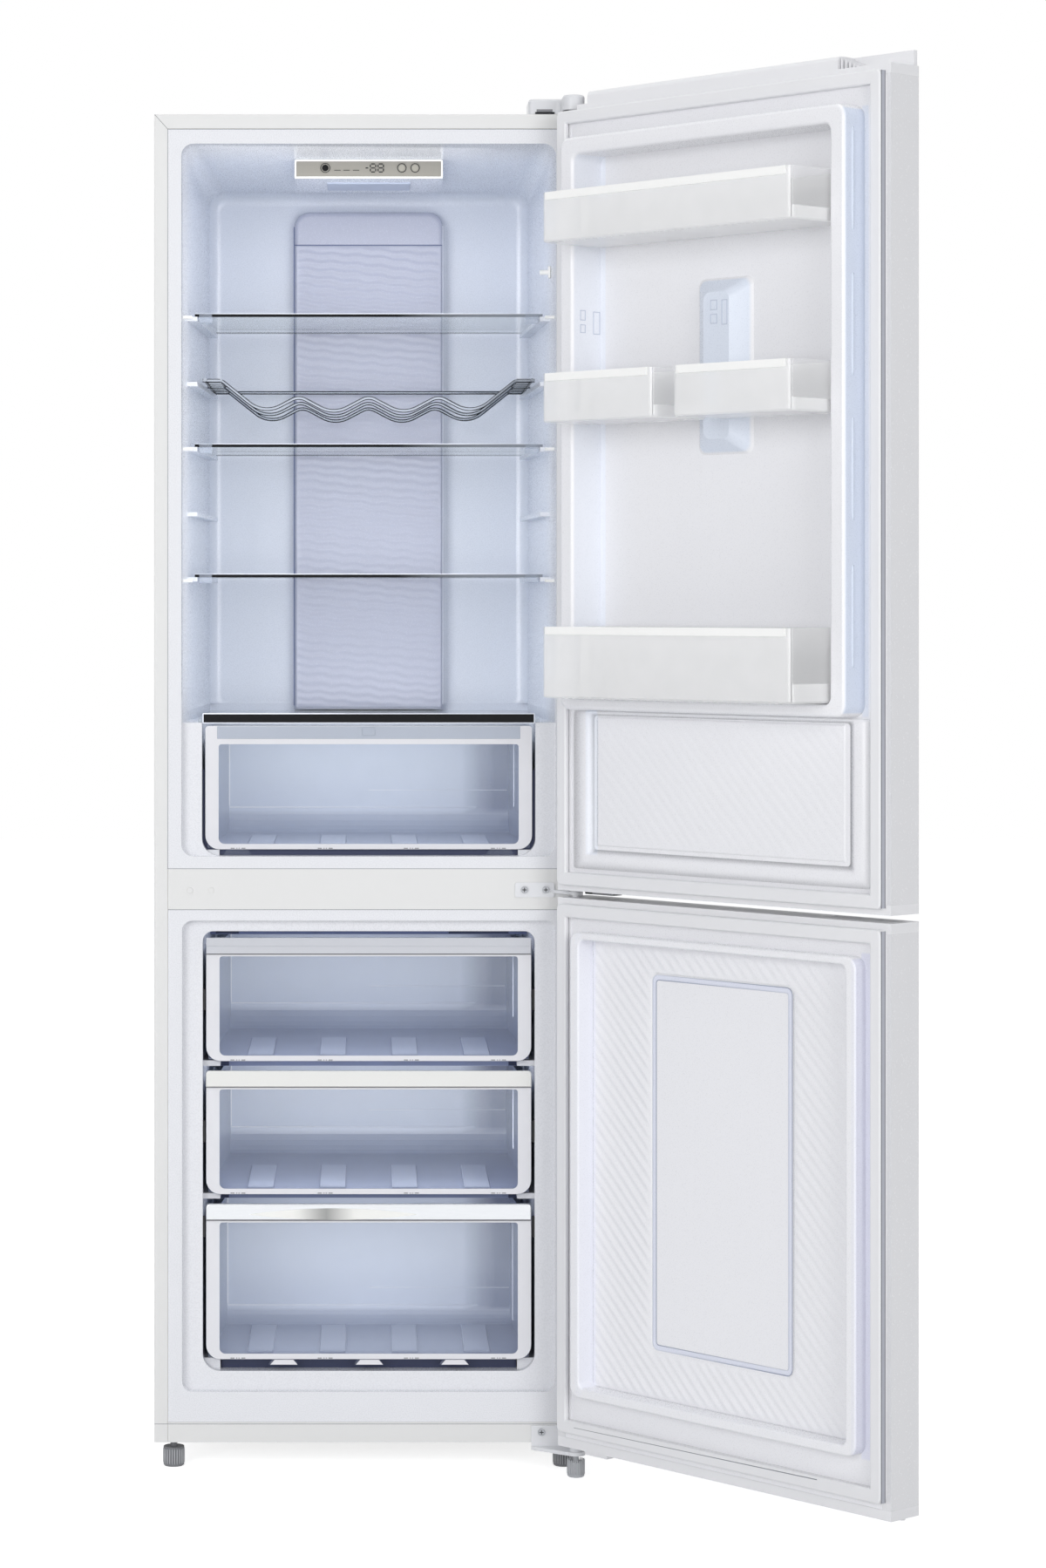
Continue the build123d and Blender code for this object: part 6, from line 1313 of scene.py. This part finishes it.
class FRIDGE_OT_stage(bpy.types.Operator):
    """Add the pale floor, the soft lights and the camera"""

    bl_idname = "fridge.stage"
    bl_label = "Stage"

    def execute(self, context):
        scene = context.scene
        reach = 14.0
        mesh = bpy.data.meshes.new("floor")
        corners = [(x * reach, y * reach, 0.0) for x, y in ((-1, -1), (1, -1), (1, 1), (-1, 1))]
        mesh.from_pydata(corners, [], [(0, 1, 2, 3)])
        floor = bpy.data.objects.new("floor", mesh)
        scene.collection.objects.link(floor)
        # a white sheet that stays white to the eye and keeps a soft shadow
        material = bpy.data.materials.new("white_paper_floor")
        material.use_nodes = True
        tree = material.node_tree
        tree.nodes.clear()
        grain = add(tree, "ShaderNodeTexNoise", {"Scale": 30.0}).outputs[0]
        tone = mix(tree, grain, linear("#E9E9E9"), linear("#EDEDED"))
        matte = add(tree, "ShaderNodeBsdfDiffuse", {"Color": tone})
        glow = add(tree, "ShaderNodeEmission", {"Strength": 0.72})
        bright = add(tree, "ShaderNodeAddShader", {0: matte.outputs[0], 1: glow.outputs[0]})
        add(tree, "ShaderNodeOutputMaterial", {"Surface": seen_or_lit(tree, matte, bright)})
        mesh.materials.append(material)

        world = scene.world or bpy.data.worlds.new("studio")
        scene.world = world
        world.use_nodes = True
        tree = world.node_tree
        tree.nodes.clear()
        soft = add(tree, "ShaderNodeBackground", {"Color": linear("#F4F6FA"), "Strength": 0.4})
        white = add(tree, "ShaderNodeBackground", {"Color": (1.0, 1.0, 1.0, 1.0), "Strength": 1.0})
        add(tree, "ShaderNodeOutputWorld", {"Surface": seen_or_lit(tree, soft, white)})

        for name, spot, target, size, power in LAMPS:
            data = bpy.data.lights.new(name, "AREA")
            data.shape = "RECTANGLE"
            data.size, data.size_y = size
            data.energy = power
            lamp = bpy.data.objects.new(name, data)
            lamp.location = spot
            lamp.rotation_euler = (Vector(target) - Vector(spot)).to_track_quat("-Z", "Y").to_euler()
            scene.collection.objects.link(lamp)

        data = bpy.data.cameras.new("camera")
        data.sensor_width = 36.0
        data.lens = 87.7
        data.shift_x = 0.0984
        data.shift_y = -0.1165
        camera = bpy.data.objects.new("camera", data)
        camera.location = (0.0, -5.3, 1.206)
        camera.rotation_euler = (math.radians(90.0), 0.0, 0.0)
        scene.collection.objects.link(camera)
        scene.camera = camera
        scene.view_settings.view_transform = "Standard"
        return {"FINISHED"}


# ---------------------------------------------------------------- add-on
OPERATORS = (
    FRIDGE_OT_finishes,
    FRIDGE_OT_duct_ripples,
    FRIDGE_OT_door_ripples,
    FRIDGE_OT_door_marks,
    FRIDGE_OT_control_panel,
    FRIDGE_OT_shelf_edges,
    FRIDGE_OT_rack_ends,
    FRIDGE_OT_drawer_fronts,
    FRIDGE_OT_gap_shadows,
    FRIDGE_OT_bin_details,
    FRIDGE_OT_small_fittings,
    FRIDGE_OT_foot_flutes,
    FRIDGE_OT_stage,
)


class FRIDGE_PT_panel(bpy.types.Panel):
    """Lists the refrigerator's settings and its operators"""

    bl_label = "Refrigerator"
    bl_idname = "FRIDGE_PT_panel"
    bl_space_type = "VIEW_3D"
    bl_region_type = "UI"
    bl_category = "Refrigerator"

    def draw(self, context):
        for group in (context.scene.fridge_finishes, context.scene.fridge_sizes):
            column = self.layout.column()
            for name in group.__annotations__:
                column.prop(group, name)
        for operator in OPERATORS:
            self.layout.operator(operator.bl_idname)


CLASSES = (FridgeFinishes, FridgeSizes, *OPERATORS, FRIDGE_PT_panel)


def register():
    """Register the classes and the scene's settings."""
    for item in CLASSES:
        bpy.utils.register_class(item)
    bpy.types.Scene.fridge_finishes = PointerProperty(type=FridgeFinishes)
    bpy.types.Scene.fridge_sizes = PointerProperty(type=FridgeSizes)


def unregister():
    """Take the classes and settings out again."""
    del bpy.types.Scene.fridge_sizes
    del bpy.types.Scene.fridge_finishes
    for item in reversed(CLASSES):
        bpy.utils.unregister_class(item)


def main():
    """Dress the refrigerator."""
    register()
    for operator in OPERATORS:
        group, name = operator.bl_idname.split(".")
        getattr(getattr(bpy.ops, group), name)()


if __name__ == "__main__":
    main()
